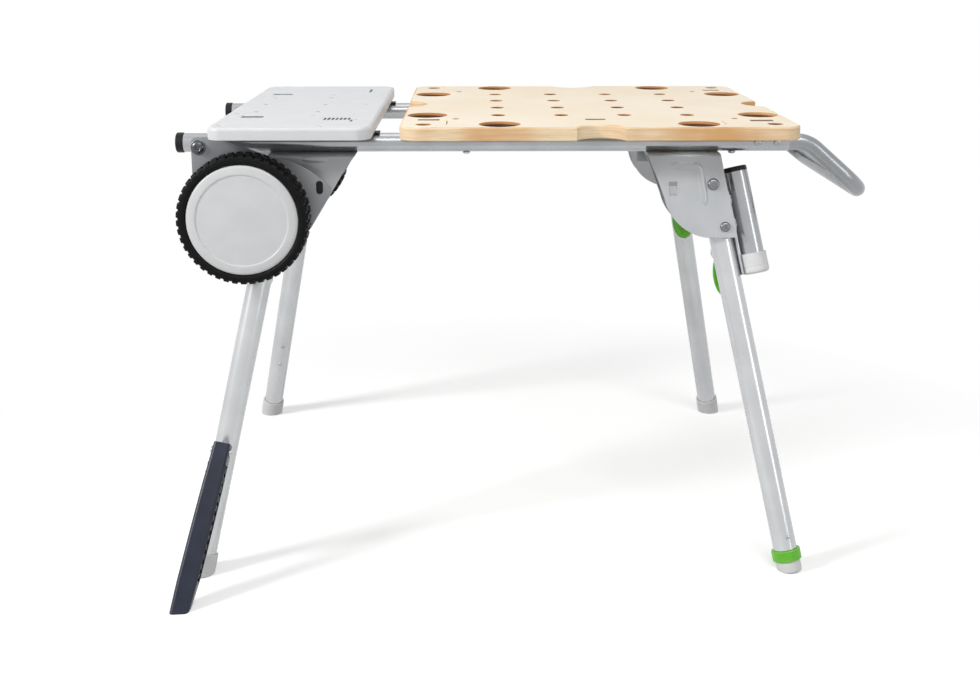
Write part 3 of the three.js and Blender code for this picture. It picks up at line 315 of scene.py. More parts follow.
# Shapes, drawn in millimetres and turned into objects at the end
class Shape:
    """Points and faces, each face with the number of its finish."""

    def __init__(self):
        self.points, self.faces, self.kinds = [], [], []

    def ring(self, points):
        start = len(self.points)
        self.points.extend(Vector(point) for point in points)
        return list(range(start, len(self.points)))

    def level(self, outline, z):
        """A ring drawn in X and Y at one height."""
        return self.ring((x, y, z) for x, y in outline)

    def face(self, indices, kind=0):
        self.faces.append(list(indices))
        self.kinds.append(kind)

    def bridge(self, first, second, kind=0):
        count = len(first)
        for i in range(count):
            j = (i + 1) % count
            self.face((first[i], first[j], second[j], second[i]), kind)

    def cap(self, rings, kind=0):
        """Fills the first ring, leaving the others as holes."""
        flat = [index for ring in rings for index in ring]
        for triangle in tessellate_polygon([[self.points[index] for index in ring] for ring in rings]):
            self.face((flat[k] for k in triangle), kind)

    def add(self, other, matrix=Matrix()):
        start = len(self.points)
        self.points.extend(matrix @ point for point in other.points)
        for face, kind in zip(other.faces, other.kinds):
            self.face((index + start for index in face), kind)
        return self


def lofted(outlines, closed=False):
    """Joins outlines in order. Then the ends are joined too, if it is closed, or else filled."""
    shape = Shape()
    rings = [shape.ring(points) for points in outlines]
    for first, second in zip(rings, rings[1:] + rings[:closed]):
        shape.bridge(first, second)
    if not closed:
        shape.face(rings[0])
        shape.face(reversed(rings[-1]))
    return shape


def arc(x, y, radius, start, end, count):
    angles = [start + (end - start) * i / count for i in range(count + 1)]
    return [(x + radius * cos(a), y + radius * sin(a)) for a in angles]


def circle(radius, count, x=0.0, y=0.0):
    return arc(x, y, radius, 0, turn, count)[:-1]


def hexagon(size, count):
    """A hexagon in as many points as a circle. Its size is that of its corners."""
    points = []
    for i in range(count):
        angle = turn * i / count
        reach = size * cos(turn / 12) / cos(angle % (turn / 6) - turn / 12)
        points.append((reach * cos(angle), reach * sin(angle)))
    return points


def rounded_box(x, y, width, depth, radius, count=2):
    across, along = width / 2 - radius, depth / 2 - radius
    points = []
    for i, (sx, sy) in enumerate(((1, 1), (-1, 1), (-1, -1), (1, -1))):
        points += arc(x + sx * across, y + sy * along, radius, i * quarter, (i + 1) * quarter, count)
    return points


def inset(points, distance):
    """Moves a counter-clockwise outline inwards."""
    moved = []
    for before, here, after in zip(points[-1:] + points, points, points[1:] + points[:1]):
        here = Vector(here)
        arriving = (here - Vector(before)).normalized()
        leaving = (Vector(after) - here).normalized()
        normal = Vector((-arriving.y - leaving.y, arriving.x + leaving.x)).normalized()
        reach = max(normal.dot(Vector((-leaving.y, leaving.x))), 0.5)
        moved.append(tuple(here + normal * (distance / reach)))
    return moved


def rim(low, high, upper, lower, count=2):
    """A plate's edge from its upper face to its lower one, as (inset, height)."""
    angles = [quarter * i / count for i in range(count + 1)]
    above = [(upper * (1 - sin(a)), high - upper * (1 - cos(a))) for a in angles]
    return above + [(lower * (1 - cos(a)), low + lower * (1 - sin(a))) for a in angles]


def plate(outer, section, holes=(), blinds=(), wall=0, bore=0, slope=0):
    """A plate with holes, and blinds with a floor, each with a section. wall, bore and slope number
    the finishes of its edge, its holes and their chamfers."""
    shape = Shape()
    upper, lower = [], []

    def walls(points, profile, side, kind, slope_kind):
        rings = [shape.level(inset(points, side * move), z) for move, z in profile]
        for i, (first, second) in enumerate(zip(profile, profile[1:])):
            upright = abs(first[0] - second[0]) < 0.01
            shape.bridge(rings[i], rings[i + 1], kind if upright else slope_kind)
        upper.append(rings[0])
        return rings[-1]

    lower.append(walls(outer, section, 1, wall, wall))
    for points, profile in holes:
        lower.append(walls(points, profile, -1, bore, slope))
    for points, profile in blinds:
        shape.cap([walls(points, profile, -1, bore, 0)], bore)
    shape.cap(upper)
    shape.cap(lower)
    return shape


def upright(outline, low, high):
    """A plate drawn in Y and Z, between two values of X."""
    return Shape().add(plate(outline, rim(low, high, 0.4, 0.4)), spin(quarter, "Z") @ facing["front"])


def oblong(low_x, low_y, high_x, high_y):
    return [(low_x, low_y), (high_x, low_y), (high_x, high_y), (low_x, high_y)]


def lathe(profile, count=steps.round, closed=False):
    """Turns (radius, height) pairs about Z."""
    shape = Shape()
    rings = [shape.level(circle(radius, count) if radius else [(0, 0)], z) for radius, z in profile]
    for first, second in zip(rings, rings[1:] + rings[:closed]):
        if len(first) == len(second):
            shape.bridge(first, second)
        else:
            (pole,), ring = sorted((first, second), key=len)
            for i in range(count):
                shape.face((pole, ring[i], ring[(i + 1) % count]))
    return shape


def pipe(radius, wall, low, high, soft=0.4):
    """A tube along Z with softened ends."""
    inner = radius - wall
    return lathe([
        (radius, low + soft), (radius, high - soft), (radius - soft, high), (inner + soft, high),
        (inner, high - soft), (inner, low + soft), (inner + soft, low), (radius - soft, low),
    ], closed=True)


def block(low, high, soft):
    """A box with chamfered edges between two corners."""
    centre = [(a + b) / 2 for a, b in zip(low, high)]
    outline = rounded_box(*centre[:2], high[0] - low[0], high[1] - low[1], soft)
    return plate(outline, rim(low[2], high[2], soft, soft))


def slab(points, low, high, axis="z"):
    """Extrudes an outline, drawn in the other two axes, along one axis."""
    order = {"x": (2, 0, 1), "y": (0, 2, 1), "z": (0, 1, 2)}[axis]
    return lofted([[[(a, b, level)[k] for k in order] for a, b in points] for level in (low, high)])


def sweep(points, section):
    """Runs a section of (across, up) pairs along points."""
    rings = []
    side = (points[1] - points[0]).cross(Vector((0, 0, 1)))
    for before, point, after in zip(points[:1] + points, points, points[1:] + points[-1:]):
        ahead = (after - before).normalized()
        side = (side - ahead * side.dot(ahead)).normalized()
        lift = side.cross(ahead)
        rings.append([point + side * a + lift * b for a, b in section])
    return lofted(rings)


def rounded_path(corners, radii, count):
    """Points of a path whose inner corners are arcs."""
    points = [corners[0]]
    for before, corner, after, radius in zip(corners, corners[1:], corners[2:], radii):
        back, ahead = (before - corner).normalized(), (after - corner).normalized()
        half = back.angle(ahead) / 2
        centre = corner + (back + ahead).normalized() * (radius / sin(half))
        first = corner + back * (radius / tan(half)) - centre
        last = corner + ahead * (radius / tan(half)) - centre
        for j in range(count + 1):
            bend = Matrix.Rotation(first.angle(last) * j / count, 3, first.cross(last))
            points.append(centre + bend @ first)
    return points + corners[-1:]


# Objects
def rework(mesh, weld, work=None):
    """Joins doubled points, runs further work and turns the faces outwards."""
    data = bmesh.new()
    data.from_mesh(mesh)
    bmesh.ops.remove_doubles(data, verts=data.verts, dist=weld)
    if work:
        work(data)
    bmesh.ops.recalc_face_normals(data, faces=data.faces)
    data.to_mesh(mesh)
    data.free()


def drawn(name, shape, place=Matrix()):
    mesh = bpy.data.meshes.new(name)
    mesh.from_pydata([place @ point for point in shape.points], [], shape.faces)
    return mesh


def shape_of(mesh):
    shape = Shape()
    shape.ring(vertex.co for vertex in mesh.vertices)
    for polygon in mesh.polygons:
        shape.face(polygon.vertices)
    return shape


def smooth(thing):
    """Smooth shading that stops at sharp edges."""
    mesh = thing.data
    mesh.polygons.foreach_set("use_smooth", [True] * len(mesh.polygons))
    mesh.set_sharp_from_angle(angle=35 * degree)
    thing.modifiers.new("weighted_normals", "WEIGHTED_NORMAL").keep_sharp = True


def soften(thing, width, segments=2, angle=50):
    """Bevels the sharp edges of a piece, before its normals are weighted."""
    bevel = thing.modifiers.new("soft_edges", "BEVEL")
    bevel.width, bevel.segments = width * mm, segments
    bevel.limit_method, bevel.angle_limit = "ANGLE", angle * degree
    thing.modifiers.move(len(thing.modifiers) - 1, 0)


def piece(name, node, shape, keys, place=build, tail="", body="frame"):
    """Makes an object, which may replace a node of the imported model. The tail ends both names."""
    mesh = drawn(name + tail, shape, place)
    own = mesh.attributes.new("own_place", "FLOAT_VECTOR", "POINT")
    own.data.foreach_set("vector", [value for point in shape.points for value in point])
    mesh.polygons.foreach_set("material_index", shape.kinds)
    rework(mesh, 0.002 * mm, lambda data: bmesh.ops.dissolve_degenerate(
        data, edges=data.edges, dist=0.001 * mm))
    thing = in_scene(name + tail, mesh)
    smooth(thing)
    keys = keys.split()
    for key in keys:
        mesh.materials.append(finish[key])
    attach(thing, body)
    if node:
        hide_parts(node + tail)
    return thing


def dress(node, key, width=0.4):
    """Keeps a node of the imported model, softened and with a finish."""
    thing = frame["nodes"][node]
    thing.data.materials.clear()
    thing.data.materials.append(finish[key])
    smooth(thing)
    soften(thing, width, angle=40)


def carved(target, tool, operation="DIFFERENCE"):
    """Boolean of two shapes as a new shape, still in millimetres."""
    things = []
    for name, shape in (("target", target), ("tool", tool)):
        things.append(in_scene(name, drawn(name, shape)))
        rework(things[-1].data, 0.001)
    cut = things[0].modifiers.new("cut", "BOOLEAN")
    cut.operation, cut.solver, cut.object = operation, "EXACT", things[1]
    result = shape_of(things[0].evaluated_get(bpy.context.evaluated_depsgraph_get()).to_mesh())
    for thing in things:
        bpy.data.objects.remove(thing)
    return result


def trimmed_to_floor(shape, place):
    """Cuts a leg's foot flat where it stands on the floor."""
    inverse = place.inverted()
    point = inverse @ Vector((place.translation.x, place.translation.y, 0))
    normal = (inverse.to_3x3() @ Vector((0, 0, 1))).normalized()

    def cut(data):
        everything = data.verts[:] + data.edges[:] + data.faces[:]
        result = bmesh.ops.bisect_plane(
            data, geom=everything, plane_co=point, plane_no=normal, clear_inner=True)
        edges = [item for item in result["geom_cut"] if isinstance(item, bmesh.types.BMEdge)]
        bmesh.ops.holes_fill(data, edges=edges)

    mesh = drawn("trim", shape)
    rework(mesh, 0.001, cut)
    result = shape_of(mesh)
    bpy.data.meshes.remove(mesh)
    return result


def leg_place(end, row):
    """From a leg as drawn, below its pivot, to its place in the stand."""
    turned = rows[row] @ spin(-leg_tilt, "X") @ spin(-ends[end].sign * leg_splay, "Y")
    return shift(*joints[f"fold_{end}_{row}"]["pos_m"]) @ turned @ Matrix.Scale(mm, 4)


# Screws: head radius and rise, socket radius and depth, what is hexagonal, shank radius and length
screws = {
    "rivet": (5.2, 2, 1.4, 0.7, "", 2.5, 13.1),
    "top": (5.5, 3, 2.2, 1.6, "socket", 2.6, 38),
    "pivot": (8.8, 5, 2.4, 0.9, "", 5, 52),
    "pivot_nut": (7.5, 5, 4, 1.2, "head"),
    "guide": (7.5, 4.5, 2.8, 2.7, "socket", 4, 6),
    "guide_nut": (6.5, 1.6, 3.4, 0.6, "head"),
    "leg": (3.4, 1.6, 1.2, 0.8, "socket", 1.6, 4),
    "pin": (6, 2.2, 1.8, 1, "", 3.5, 12.05),
    "wheel_plate": (9.2, 5, 4.2, 3, "head, socket", 5, 60),
}
head_collar = 0.35
head_dome = ((0.94, 0.66), (0.8, 0.88), (0.66, 0.98))
socket_lip = (1.12, 0.3)


def screw(kind, place=Matrix()):
    """A head that rises along Z from zero, with its shank, if any, below."""
    radius, rise, socket, depth, hexagonal, *shank = screws[kind]
    outer = hexagon if "head" in hexagonal else circle
    inner = hexagon if "socket" in hexagonal else circle
    levels = [(circle, shank[0], -shank[1]), (circle, shank[0], 0)] if shank else []
    levels += [(outer, radius, 0), (outer, radius, rise * head_collar)]
    levels += [(circle, radius * share, rise * height) for share, height in head_dome]
    levels += [(inner, socket * socket_lip[0], rise), (inner, socket, rise - socket_lip[1])]
    levels += [(inner, socket, rise - depth)]
    return Shape().add(lofted([
        [(x, y, z) for x, y in outline(size, steps.small)] for outline, size, z in levels]), place)


# Worktop
wood = Sizes(length=576, depth=568, low=640, corner=28, notch=36, notch_depth=28)
wood_soft = Sizes(upper=3, lower=2, hole=0.6)
dog = Sizes(pitch=96, places=(-1.5, -0.5, 0.5, 1.5), hole=(10, 1.2, 32, 2))
# Holes in all four quarters: X, Y, then radius, chamfer, steps around and steps of the chamfer
clamp_hole = (27, 3.4, 48, 4)
quarter_holes = (
    (252, 144, clamp_hole), (144, 248, clamp_hole), (254, 250, (10, 1.5, 32, 2)),
    (208, 187, (4.5, 0.8, 20, 2)),
)
# Shallow marks as X, Y, width and depth
recesses = [(-248, -198, 32, 15), (243, -211, 34, 16), (-1, -195, 30, 14), (245, 207, 30, 14)]
scribes = [(-220.5, -228, 1.4, 40), (183, -235, 1.4, 40)]


def wood_outline():
    offset = wood.notch - wood.notch_depth
    half_angle = acos(offset / wood.notch)
    corner = wood.corner
    sizes = (wood.length / 2, wood.depth / 2)
    points = []
    for side in range(4):
        across, half = sizes[side % 2], sizes[1 - side % 2]
        outline = arc(0, half + offset, wood.notch, half_angle - quarter, -half_angle - quarter, 20)
        outline += arc(corner - across, half - corner, corner, quarter, 2 * quarter, 12)
        around = Matrix.Rotation(side * quarter, 2)
        points += [tuple(around @ Vector(point)) for point in outline]
    return points


def worktop():
    low = wood.low
    places = [(x * dog.pitch, y * dog.pitch, dog.hole) for x in dog.places for y in dog.places]
    places += [(sx * x, sy * y, hole) for sx in sides for sy in sides for x, y, hole in quarter_holes]
    holes = [
        (circle(radius, count, x, y), rim(low, top, chamfer, wood_soft.hole, chamfer_steps))
        for x, y, (radius, chamfer, count, chamfer_steps) in places
    ]
    blinds = [(rounded_box(*mark, 2, 3), [(0.2, top), (0, top - 0.2), (0, top - 0.5)]) for mark in recesses]
    blinds += [(rounded_box(*mark, 0.6), [(0.1, top), (0, top - 0.9)]) for mark in scribes]
    section = rim(low, top, wood_soft.upper, wood_soft.lower, 5)
    # The holes' walls and the marks' walls and floors take the bore finish, whose dark browns are painted
    # shade
    shape = plate(wood_outline(), section, holes, blinds, wall=1, bore=2, slope=3)
    piece("worktop_board", "wood_top", shape, "wood_face wood_edge wood_bore wood_slope")


# Docking plate
dock = Sizes(x=-444.5, width=233, depth=570, height=18, sheet=3, corner=22, soft=5)
dock_slot = Sizes(x=-515.5, y=156, length=33, width=26, corner=3)
dock_hole = Sizes(radius=4.5, places=[(x, y) for x in (-519.5, -423.5) for y in (-96, 0, 96)])
dock_dimple = Sizes(radius=4.6, places=(
    (-541, 266), (-544, 123), (-423, 148), (-357, 2), (-544, -116), (-425, -136), (-357, -186),
    (-400, -264), (-546, -252),
))
# Grooves as X, Y, width, depth and corner radius
dock_grooves = [(-388, 198, 34, 3, 1.2), (-366, 206, 4, 50, 1.4), (-362, -203, 3.4, 24, 1.2)]
dock_grooves += [(-403 + 6 * i, -183, 3.4, 28, 1.2) for i in range(7)]


def docking_plate():
    """An open tray. Its section runs over the rim, down the wall and back up inside."""
    low, inner, soft = top - dock.height, dock.sheet, dock.soft
    under = top - inner
    section = rim(low, top, soft, 0, 6)[:7] + [
        (0, low + 0.8), (0.3, low + 0.2), (0.9, low), (inner - 0.6, low), (inner, low + 0.6),
        (inner, under - 2), (inner + 0.6, under - 0.6), (inner + 2, under),
    ]
    slot = (dock_slot.length, dock_slot.width, dock_slot.corner, 5)
    holes = [
        (rounded_box(dock_slot.x, sign * dock_slot.y, *slot), rim(under, top, 1.6, 0.4, 3))
        for sign in sides
    ]
    hole_rim = rim(under, top, 0.8, 0.3)
    holes += [(circle(dock_hole.radius, 24, *place), hole_rim) for place in dock_hole.places]
    dimple = [(1, top), (0, top - 1), (0, top - 2.2)]
    blinds = [(circle(dock_dimple.radius, 20, *place), dimple) for place in dock_dimple.places]
    groove = [(0.5, top), (0, top - 0.5), (0, top - 1.2)]
    blinds += [(rounded_box(*place, 3), groove) for place in dock_grooves]
    outer = rounded_box(dock.x, 0, dock.width, dock.depth, dock.corner, 12)
    # The bore finish on the holes' walls and the dimples' and grooves' walls and floors is painted shade
    shape = plate(outer, section, holes, blinds, bore=1)
    piece("docking_tray", "docking_plate", shape, "dock_grey dock_bore")


# Frame tubes and what is fixed in them
rivet_x = (240.5, 269.5)
rivet_seat = 14.1
top_screw_x = {"left": -192.5, "right": 205}
end_cap = Sizes(radius=15, length=11, plug=18)
handle = Sizes(radius=12.2, insert=60, bend_x=318, slope=41 * degree, reach=121, bend=45, corner=48)


def end_plug():
    """The plug in a frame tube's end."""
    r, inner = end_cap.radius, tube.radius - tube.wall - gap
    face = tube.left - gap
    tip, back = face - end_cap.length, face + end_cap.plug
    return lathe([
        (0, tip), (r - 4.5, tip), (r - 3.8, tip + 0.8), (r - 3, tip + 0.8), (r - 2.6, tip),
        (r - 1.6, tip + 0.2), (r - 0.4, tip + 1), (r, tip + 2.2), (r, face - 0.5), (r - 0.5, face),
        (inner, face), (inner, back - 2), (inner - 2, back), (0, back),
    ])


def frame_tubes():
    shape = pipe(tube.radius, tube.wall, tube.left, tube.right)
    rivet = Shape()
    for turned in facing.values():
        rivet.add(screw("rivet", turned @ shift(z=rivet_seat)))
    under = shift(z=-tube.radius - gap) @ spin(turn / 2, "X")
    for row, half in rows.items():
        place = build @ half @ shift(0, -tube.spread, tube.z)
        piece("frame_pipe", "frame_tube", shape, "frame_tube", place @ along_x, f"_{row}")
        piece("tube_plug", "tube_cap", end_plug(), "black_plastic", place @ along_x, f"_{row}")
        for i, x in enumerate(rivet_x, 1):
            piece("rivet", "handle_rivet", rivet, "bolt_steel", place @ shift(x), f"_{row}_{i}")
        for side, x in top_screw_x.items():
            seat = place @ shift(x) @ under
            piece("worktop_screw", "top_screw", screw("top"), "bolt_steel", seat, f"_{row}_{side}")
        dress(f"plate_seat_{row}", "black_strip")
    for side in top_screw_x:
        dress(f"cross_rail_{side}", "rail_tube", 0.8)
    dress("wheel_axle", "rail_tube")


def push_handle():
    """One bent tube, from the front frame tube's bore to the rear one's."""
    start = tube.right - handle.insert
    low_x = handle.bend_x + handle.reach * cos(handle.slope)
    low_z = -handle.reach * sin(handle.slope)
    front = [(start, 0), (handle.bend_x, 0), (low_x, low_z)]
    corners = [Vector((x, -tube.spread, z)) for x, z in front]
    corners += [Vector((x, tube.spread, z)) for x, z in front[::-1]]
    path = rounded_path(corners, [handle.bend, handle.corner, handle.corner, handle.bend], 14)
    shape = sweep(path, circle(handle.radius, 30))
    thing = piece("push_bar", "push_handle", shape, "handle_tube", build @ shift(z=tube.z))
    # Plain smooth normals shade its long bends more evenly than weighted ones
    thing.modifiers.clear()


# Leg brackets
sheet = 3
channel = Sizes(half=23, top=tube.z - tube.radius - gap, low=-150, bend=6, crown=5, reach=300)
right_bracket = Sizes(
    arc=74, sweep=(192 * degree, 262 * degree), far=-98.5, far_fold=-84, near=10, drop=71,
    bead=[(-66, 33.5), (-21, 33.5), (-12, -25)], bead_corner=12, bead_half=6.5, bead_rise=2.9,
)
# Windows in the right brackets: X, Z, width and height, then the cheek's stretch of Y
windows = (((-59.8, 0, 12.5, 19.5), -channel.reach, 0), ((-51, -9, 24, 28), 0, channel.reach))
left_bracket = Sizes(
    arc=42, sweep=(-95 * degree, 20 * degree), far=134.7, bend=(119, 106), side=(95, 66),
    bead=(54, 93, 119), bead_half=6, bead_rise=1.9,
)
cheek_face = channel.half + sheet


def channel_section(half, high, crown):
    """A channel in Y and Z. Below the fold both cheeks lean with the leg."""
    low, reach = channel.low, channel.bend

    def cheek(sign):
        bend = -sign * half * tan(leg_tilt / 2)
        points = []
        for i in range(4):
            share = i / 3
            y = sign * half - reach * tan(leg_tilt) * share * share
            points.append((y, bend + reach * (1 - 2 * share)))
        return points + [(sign * half + (low - bend) * tan(leg_tilt), low)]

    points = cheek(-1)[::-1] + arc(crown - half, high - crown, crown, 2 * quarter, quarter, 5)
    return points + arc(half - crown, high - crown, crown, quarter, 0, 5) + cheek(1)


def cheek_outline(end):
    squash = cos(leg_tilt)
    edge = (leg.radius + gap + sheet) / cos(leg_splay)
    slope = tan(leg_splay) / squash
    high = channel.top - ends[end].z
    b = right_bracket if end == "right" else left_bracket
    curve = [(x, z * squash) for x, z in arc(0, 0, b.arc, *b.sweep, 18)]
    if end == "right":
        fold = fold_z - ends[end].z
        near = [(edge + b.drop * slope, -b.drop), (edge - fold * slope, fold), (b.near, high)]
        return [(b.far, high), (b.far_fold, fold)] + curve + near
    low = -b.arc * squash
    near = [(high * slope - edge, high), (low * slope - edge, low)]
    return near + curve + [b.side, b.bend, (b.far, high)]


def cheek_point(end, x, z, lift):
    """A point lifted off the front cheek's outer face, X and Z from the pivot."""
    bend = fold_z - ends[end].z + cheek_face * tan(leg_tilt / 2)
    if z >= bend:
        return Vector((x, -cheek_face - lift, z))
    y = (z - bend) * tan(leg_tilt) - cheek_face
    return Vector((x, y - lift * cos(leg_tilt), z + lift * sin(leg_tilt)))


def pressed_bead(end, path, half, rise):
    """A rounded ridge along a path over the cheek, fading at both ends."""
    rings = []
    total = len(path) - 1
    for i, (x, z) in enumerate(path):
        before, after = Vector(path[max(i - 1, 0)]), Vector(path[min(i + 1, total)])
        ahead = (after - before).normalized()
        to_end = min(i, total - i) / 5
        share = sqrt(max(1 - (1 - min(to_end, 1)) ** 2, 0.02))
        ring = []
        for across in (k / 6 - 1 for k in range(13)):
            aside = half * share * across
            height = rise * share * (1 - across * across) - 0.4
            ring.append(cheek_point(end, x - ahead.y * aside, z + ahead.x * aside, height))
        rings.append(ring)
    return lofted(rings)


def bead_path(end):
    """A bead's middle in X and Z."""
    if end == "left":
        start, finish, z = left_bracket.bead
        return [(start + (finish - start) * i / 16, z) for i in range(17)]
    corners = [Vector((x, z, 0)) for x, z in right_bracket.bead]
    bent = rounded_path(corners, [right_bracket.bead_corner], 6)
    path = []
    for a, b in zip(bent, bent[1:]):
        stretch = max(int((b - a).length / 3), 1)
        path += [a.lerp(b, i / stretch) for i in range(stretch)]
    return [(point.x, point.y) for point in path + bent[-1:]]


def stop_web(end):
    """The web between the cheeks that the splayed leg leans on."""
    wide, inner = channel.half + sheet / 2, leg.radius + gap
    if end == "left":
        return block((-inner - sheet, -wide, -left_bracket.arc), (-inner, wide, -15), 0.4)
    low = -right_bracket.drop / cos(leg_tilt)
    outline = [(-wide, low), (-12, low - 10), (-12, low - 66), (-10, low - 68)]
    outline += [(-y, z) for y, z in outline[::-1]] + [(wide, -15), (-wide, -15)]
    return upright(outline, inner, inner + sheet)


def leg_brackets():
    high, reach = channel.top - fold_z, channel.reach
    outside = channel_section(cheek_face, high, channel.crown)
    inside = channel_section(channel.half, high - sheet, channel.crown - sheet)
    walls = slab(outside + inside[::-1], -reach, reach, "x")
    for end, sizes in (("right", right_bracket), ("left", left_bracket)):
        body = Shape().add(walls, shift(z=fold_z - ends[end].z))
        body = carved(body, slab(cheek_outline(end), -reach, reach, "y"), "INTERSECT")
        if end == "right":
            for window, near, far in windows:
                body = carved(body, slab(rounded_box(*window, 1), near, far, "y"))
        bead = pressed_bead(end, bead_path(end), sizes.bead_half, sizes.bead_rise)
        for row, half in rows.items():
            tail = f"_{end}_{row}"
            place = build @ half @ shift(ends[end].x, -tube.spread, ends[end].z)
            soften(piece("pressed_bracket", "leg_bracket", body, "pressed_sheet", place, tail), 0.5)
            piece("bracket_bead", None, bead, "pressed_sheet", place, tail)
            piece("stop_web", None, stop_web(end), "pressed_sheet", leg_place(end, row), tail)


def bracket_bolts():
    outer_face, inner_face = shift(z=cheek_face), shift(z=0.3 - channel.half)
    head, nut = facing["front"] @ outer_face, facing["rear"]
    pivot = screw("pivot", head).add(screw("pivot_nut", nut @ outer_face))
    guide = screw("guide", head).add(screw("guide_nut", nut @ inner_face))
    for row in rows:
        for end in ends:
            piece("pivot_screw", "pivot_bolt", pivot, "bracket_bolt", leg_place(end, row), f"_{end}_{row}")
        place = leg_place("right", row) @ shift(4.5, 0, -65.5)
        piece("guide_screw", "guide_bolt_right", guide, "bracket_bolt", place, f"_{row}")


# Legs and feet
foot = Sizes(radius=20.3, height=32, base=8, round=5)
short_foot = Sizes(high=13, low=-134.7, cap_low=-143, cap_high=-112, seat=-135, tabs=(27, 63))
adjuster = Sizes(ring_height=16, foot=18.5, foot_height=15.5, lobes=40, depth=1.1)
lever = Sizes(tip=10, lean=5 * degree, neck=7.6, inside=10.7)
outrigger = Sizes(hinge=320, offset=34.5, lean=17.4 * degree)
# Small screws that show on two legs, at distances from the pivot along the leg
leg_screw_spots = {"_right_front": (537,), "_left_rear": (342, 383)}


def ear(low_x, high_x, radius, y, z):
    """A round-ended lug on the leg's inner side."""
    root = 12
    outline = arc(y, z, radius, -quarter, quarter, 10) + [(root, z + radius), (root, z - radius)]
    return upright(outline, low_x, high_x)


def foot_cup(low, high, seat):
    """A moulded cup with a soft lip and a shallow band."""
    radius, r, inside = foot.radius, foot.round, leg.radius + gap
    return lathe([(0, low)] + arc(radius - r, low + r, r, -quarter, 0, 6) + [
        (radius, low + 9), (radius - 0.5, low + 9.6), (radius - 0.5, low + 10.6), (radius, low + 11.2),
        (radius, high - 3.2), (radius, high - 1), (radius - 0.8, high), (inside + 0.5, high),
        (inside, high - 0.6), (inside, seat), (0, seat),
    ])


def legs():
    splay = tan(leg_tilt + leg_splay)
    lug_y = leg.radius + leg.lift
    for end, row in ((end, row) for end in ends for row in rows):
        tail, place, length, hinge = f"_{end}_{row}", leg_place(end, row), ends[end].length, ends[end].hinge
        foot_height = foot.base + gap
        if tail == "_right_front":
            foot_height = adjuster.foot_height + adjuster.ring_height + 2 * gap
        shape = pipe(leg.radius, leg.wall, foot_height - length, leg.crown, 0.5)
        for low_x in (-14, 11):
            shape.add(ear(low_x, low_x + 3, 7, lug_y, -hinge))
        if tail == "_left_front":
            shape.add(ear(-4, 4, 9, outrigger.offset, -outrigger.hinge), mirrored)
        piece("leg_pipe", "leg", shape, "leg_tube", place, tail, "leg" + tail)
        if tail != "_right_front":
            low = -length - foot.radius * splay / 2
            cup = trimmed_to_floor(foot_cup(low, foot.height - length, foot.base - length), place)
            piece("foot_cup", "foot_cap", cup, "foot_plastic", place, tail, "leg" + tail)
        latch(end, place @ shift(0, lug_y, -hinge), tail)
        for number, along in enumerate(leg_screw_spots.get(tail, ()), 1):
            around = shift(z=-along) @ rows[row] @ spin(12 * degree, "Z") @ facing["front"]
            head = screw("leg", around @ shift(z=leg.radius - 0.2))
            piece("leg_screw", None, head, "bolt_steel", place, f"{tail}_{number}", "leg" + tail)


def latch(end, place, tail):
    """A leaf-shaped release lever with a raised rim and four ridges."""
    half, length = ends[end].lever_half, ends[end].lever_length
    tip, neck, inside = lever.tip, lever.neck, lever.inside
    outline = [(inside, 0), (inside - 0.6, -neck)]
    count = 18
    for i in range(1, count + 1):
        share = i / count
        swell = sin(pi * share) ** 0.7
        tip_half = tip * sqrt(max(1 - share ** 8, 0))
        outline.append((tip_half + (half - tip) * swell, -neck - (length - neck) * share))
    outline = [(-x, z) for x, z in outline] + [(0.4, -length)] + outline[-2::-1]
    leaf = plate(outline, [
        (8.5, 0.9), (7.2, 1.0), (5.8, 1.9), (3.6, 2.3), (1.4, 2.1), (0.4, 1.3), (0, 0.4), (0, -1.2),
        (0.6, -1.8), (1.6, -2),
    ])
    lean = spin(lever.lean, "X")
    pin = [(0, -14), (3, -14), (3, 14), (0, 14)]
    barrel = [(0, -inside), (4.6, -inside), (5, 0.4 - inside), (5, inside - 0.4), (4.6, inside), (0, inside)]
    shape = Shape().add(leaf, lean @ facing["rear"] @ mirrored)
    for profile in (pin, barrel):
        shape.add(lathe(profile, steps.small), along_x)
    for i in range(4):
        z = 30 - length - 6 * i
        shape.add(block((i - 8, 1.2, z - 1.1), (8 - i, 2.9, z + 1.1), 0.5), lean)
    piece("release_lever", "latch_lever", shape, "green_plastic", place, tail, "lever" + tail)


def ribbed_ring(low):
    """The adjuster's ring, with ribs on three stretches of its side."""
    rings = []
    count = 8 * adjuster.lobes
    for height, radius in (
        (0, 18), (0, 20.6), (0.7, 21.3), (1.6, 21.5), (13.2, 21.5), (14.2, 21.5), (15.3, 21.3), (16, 20.4),
    ):
        ring = []
        for angle in (turn * i / count for i in range(count)):
            ribbed = sin(angle * 3 + 0.6) > -0.35 and 1.2 < height < 13.6
            depth = adjuster.depth * (0.5 - 0.5 * cos(angle * adjuster.lobes)) if ribbed else 0
            ring.append(((radius - depth) * cos(angle), (radius - depth) * sin(angle), low + height))
        rings.append(ring)
    for height, radius in ((16, 15.7), (25, 15.7), (25, 6.2), (0, 6.2)):
        rings.append([(x, y, low + height) for x, y in circle(radius, count)])
    return lofted(rings, closed=True)


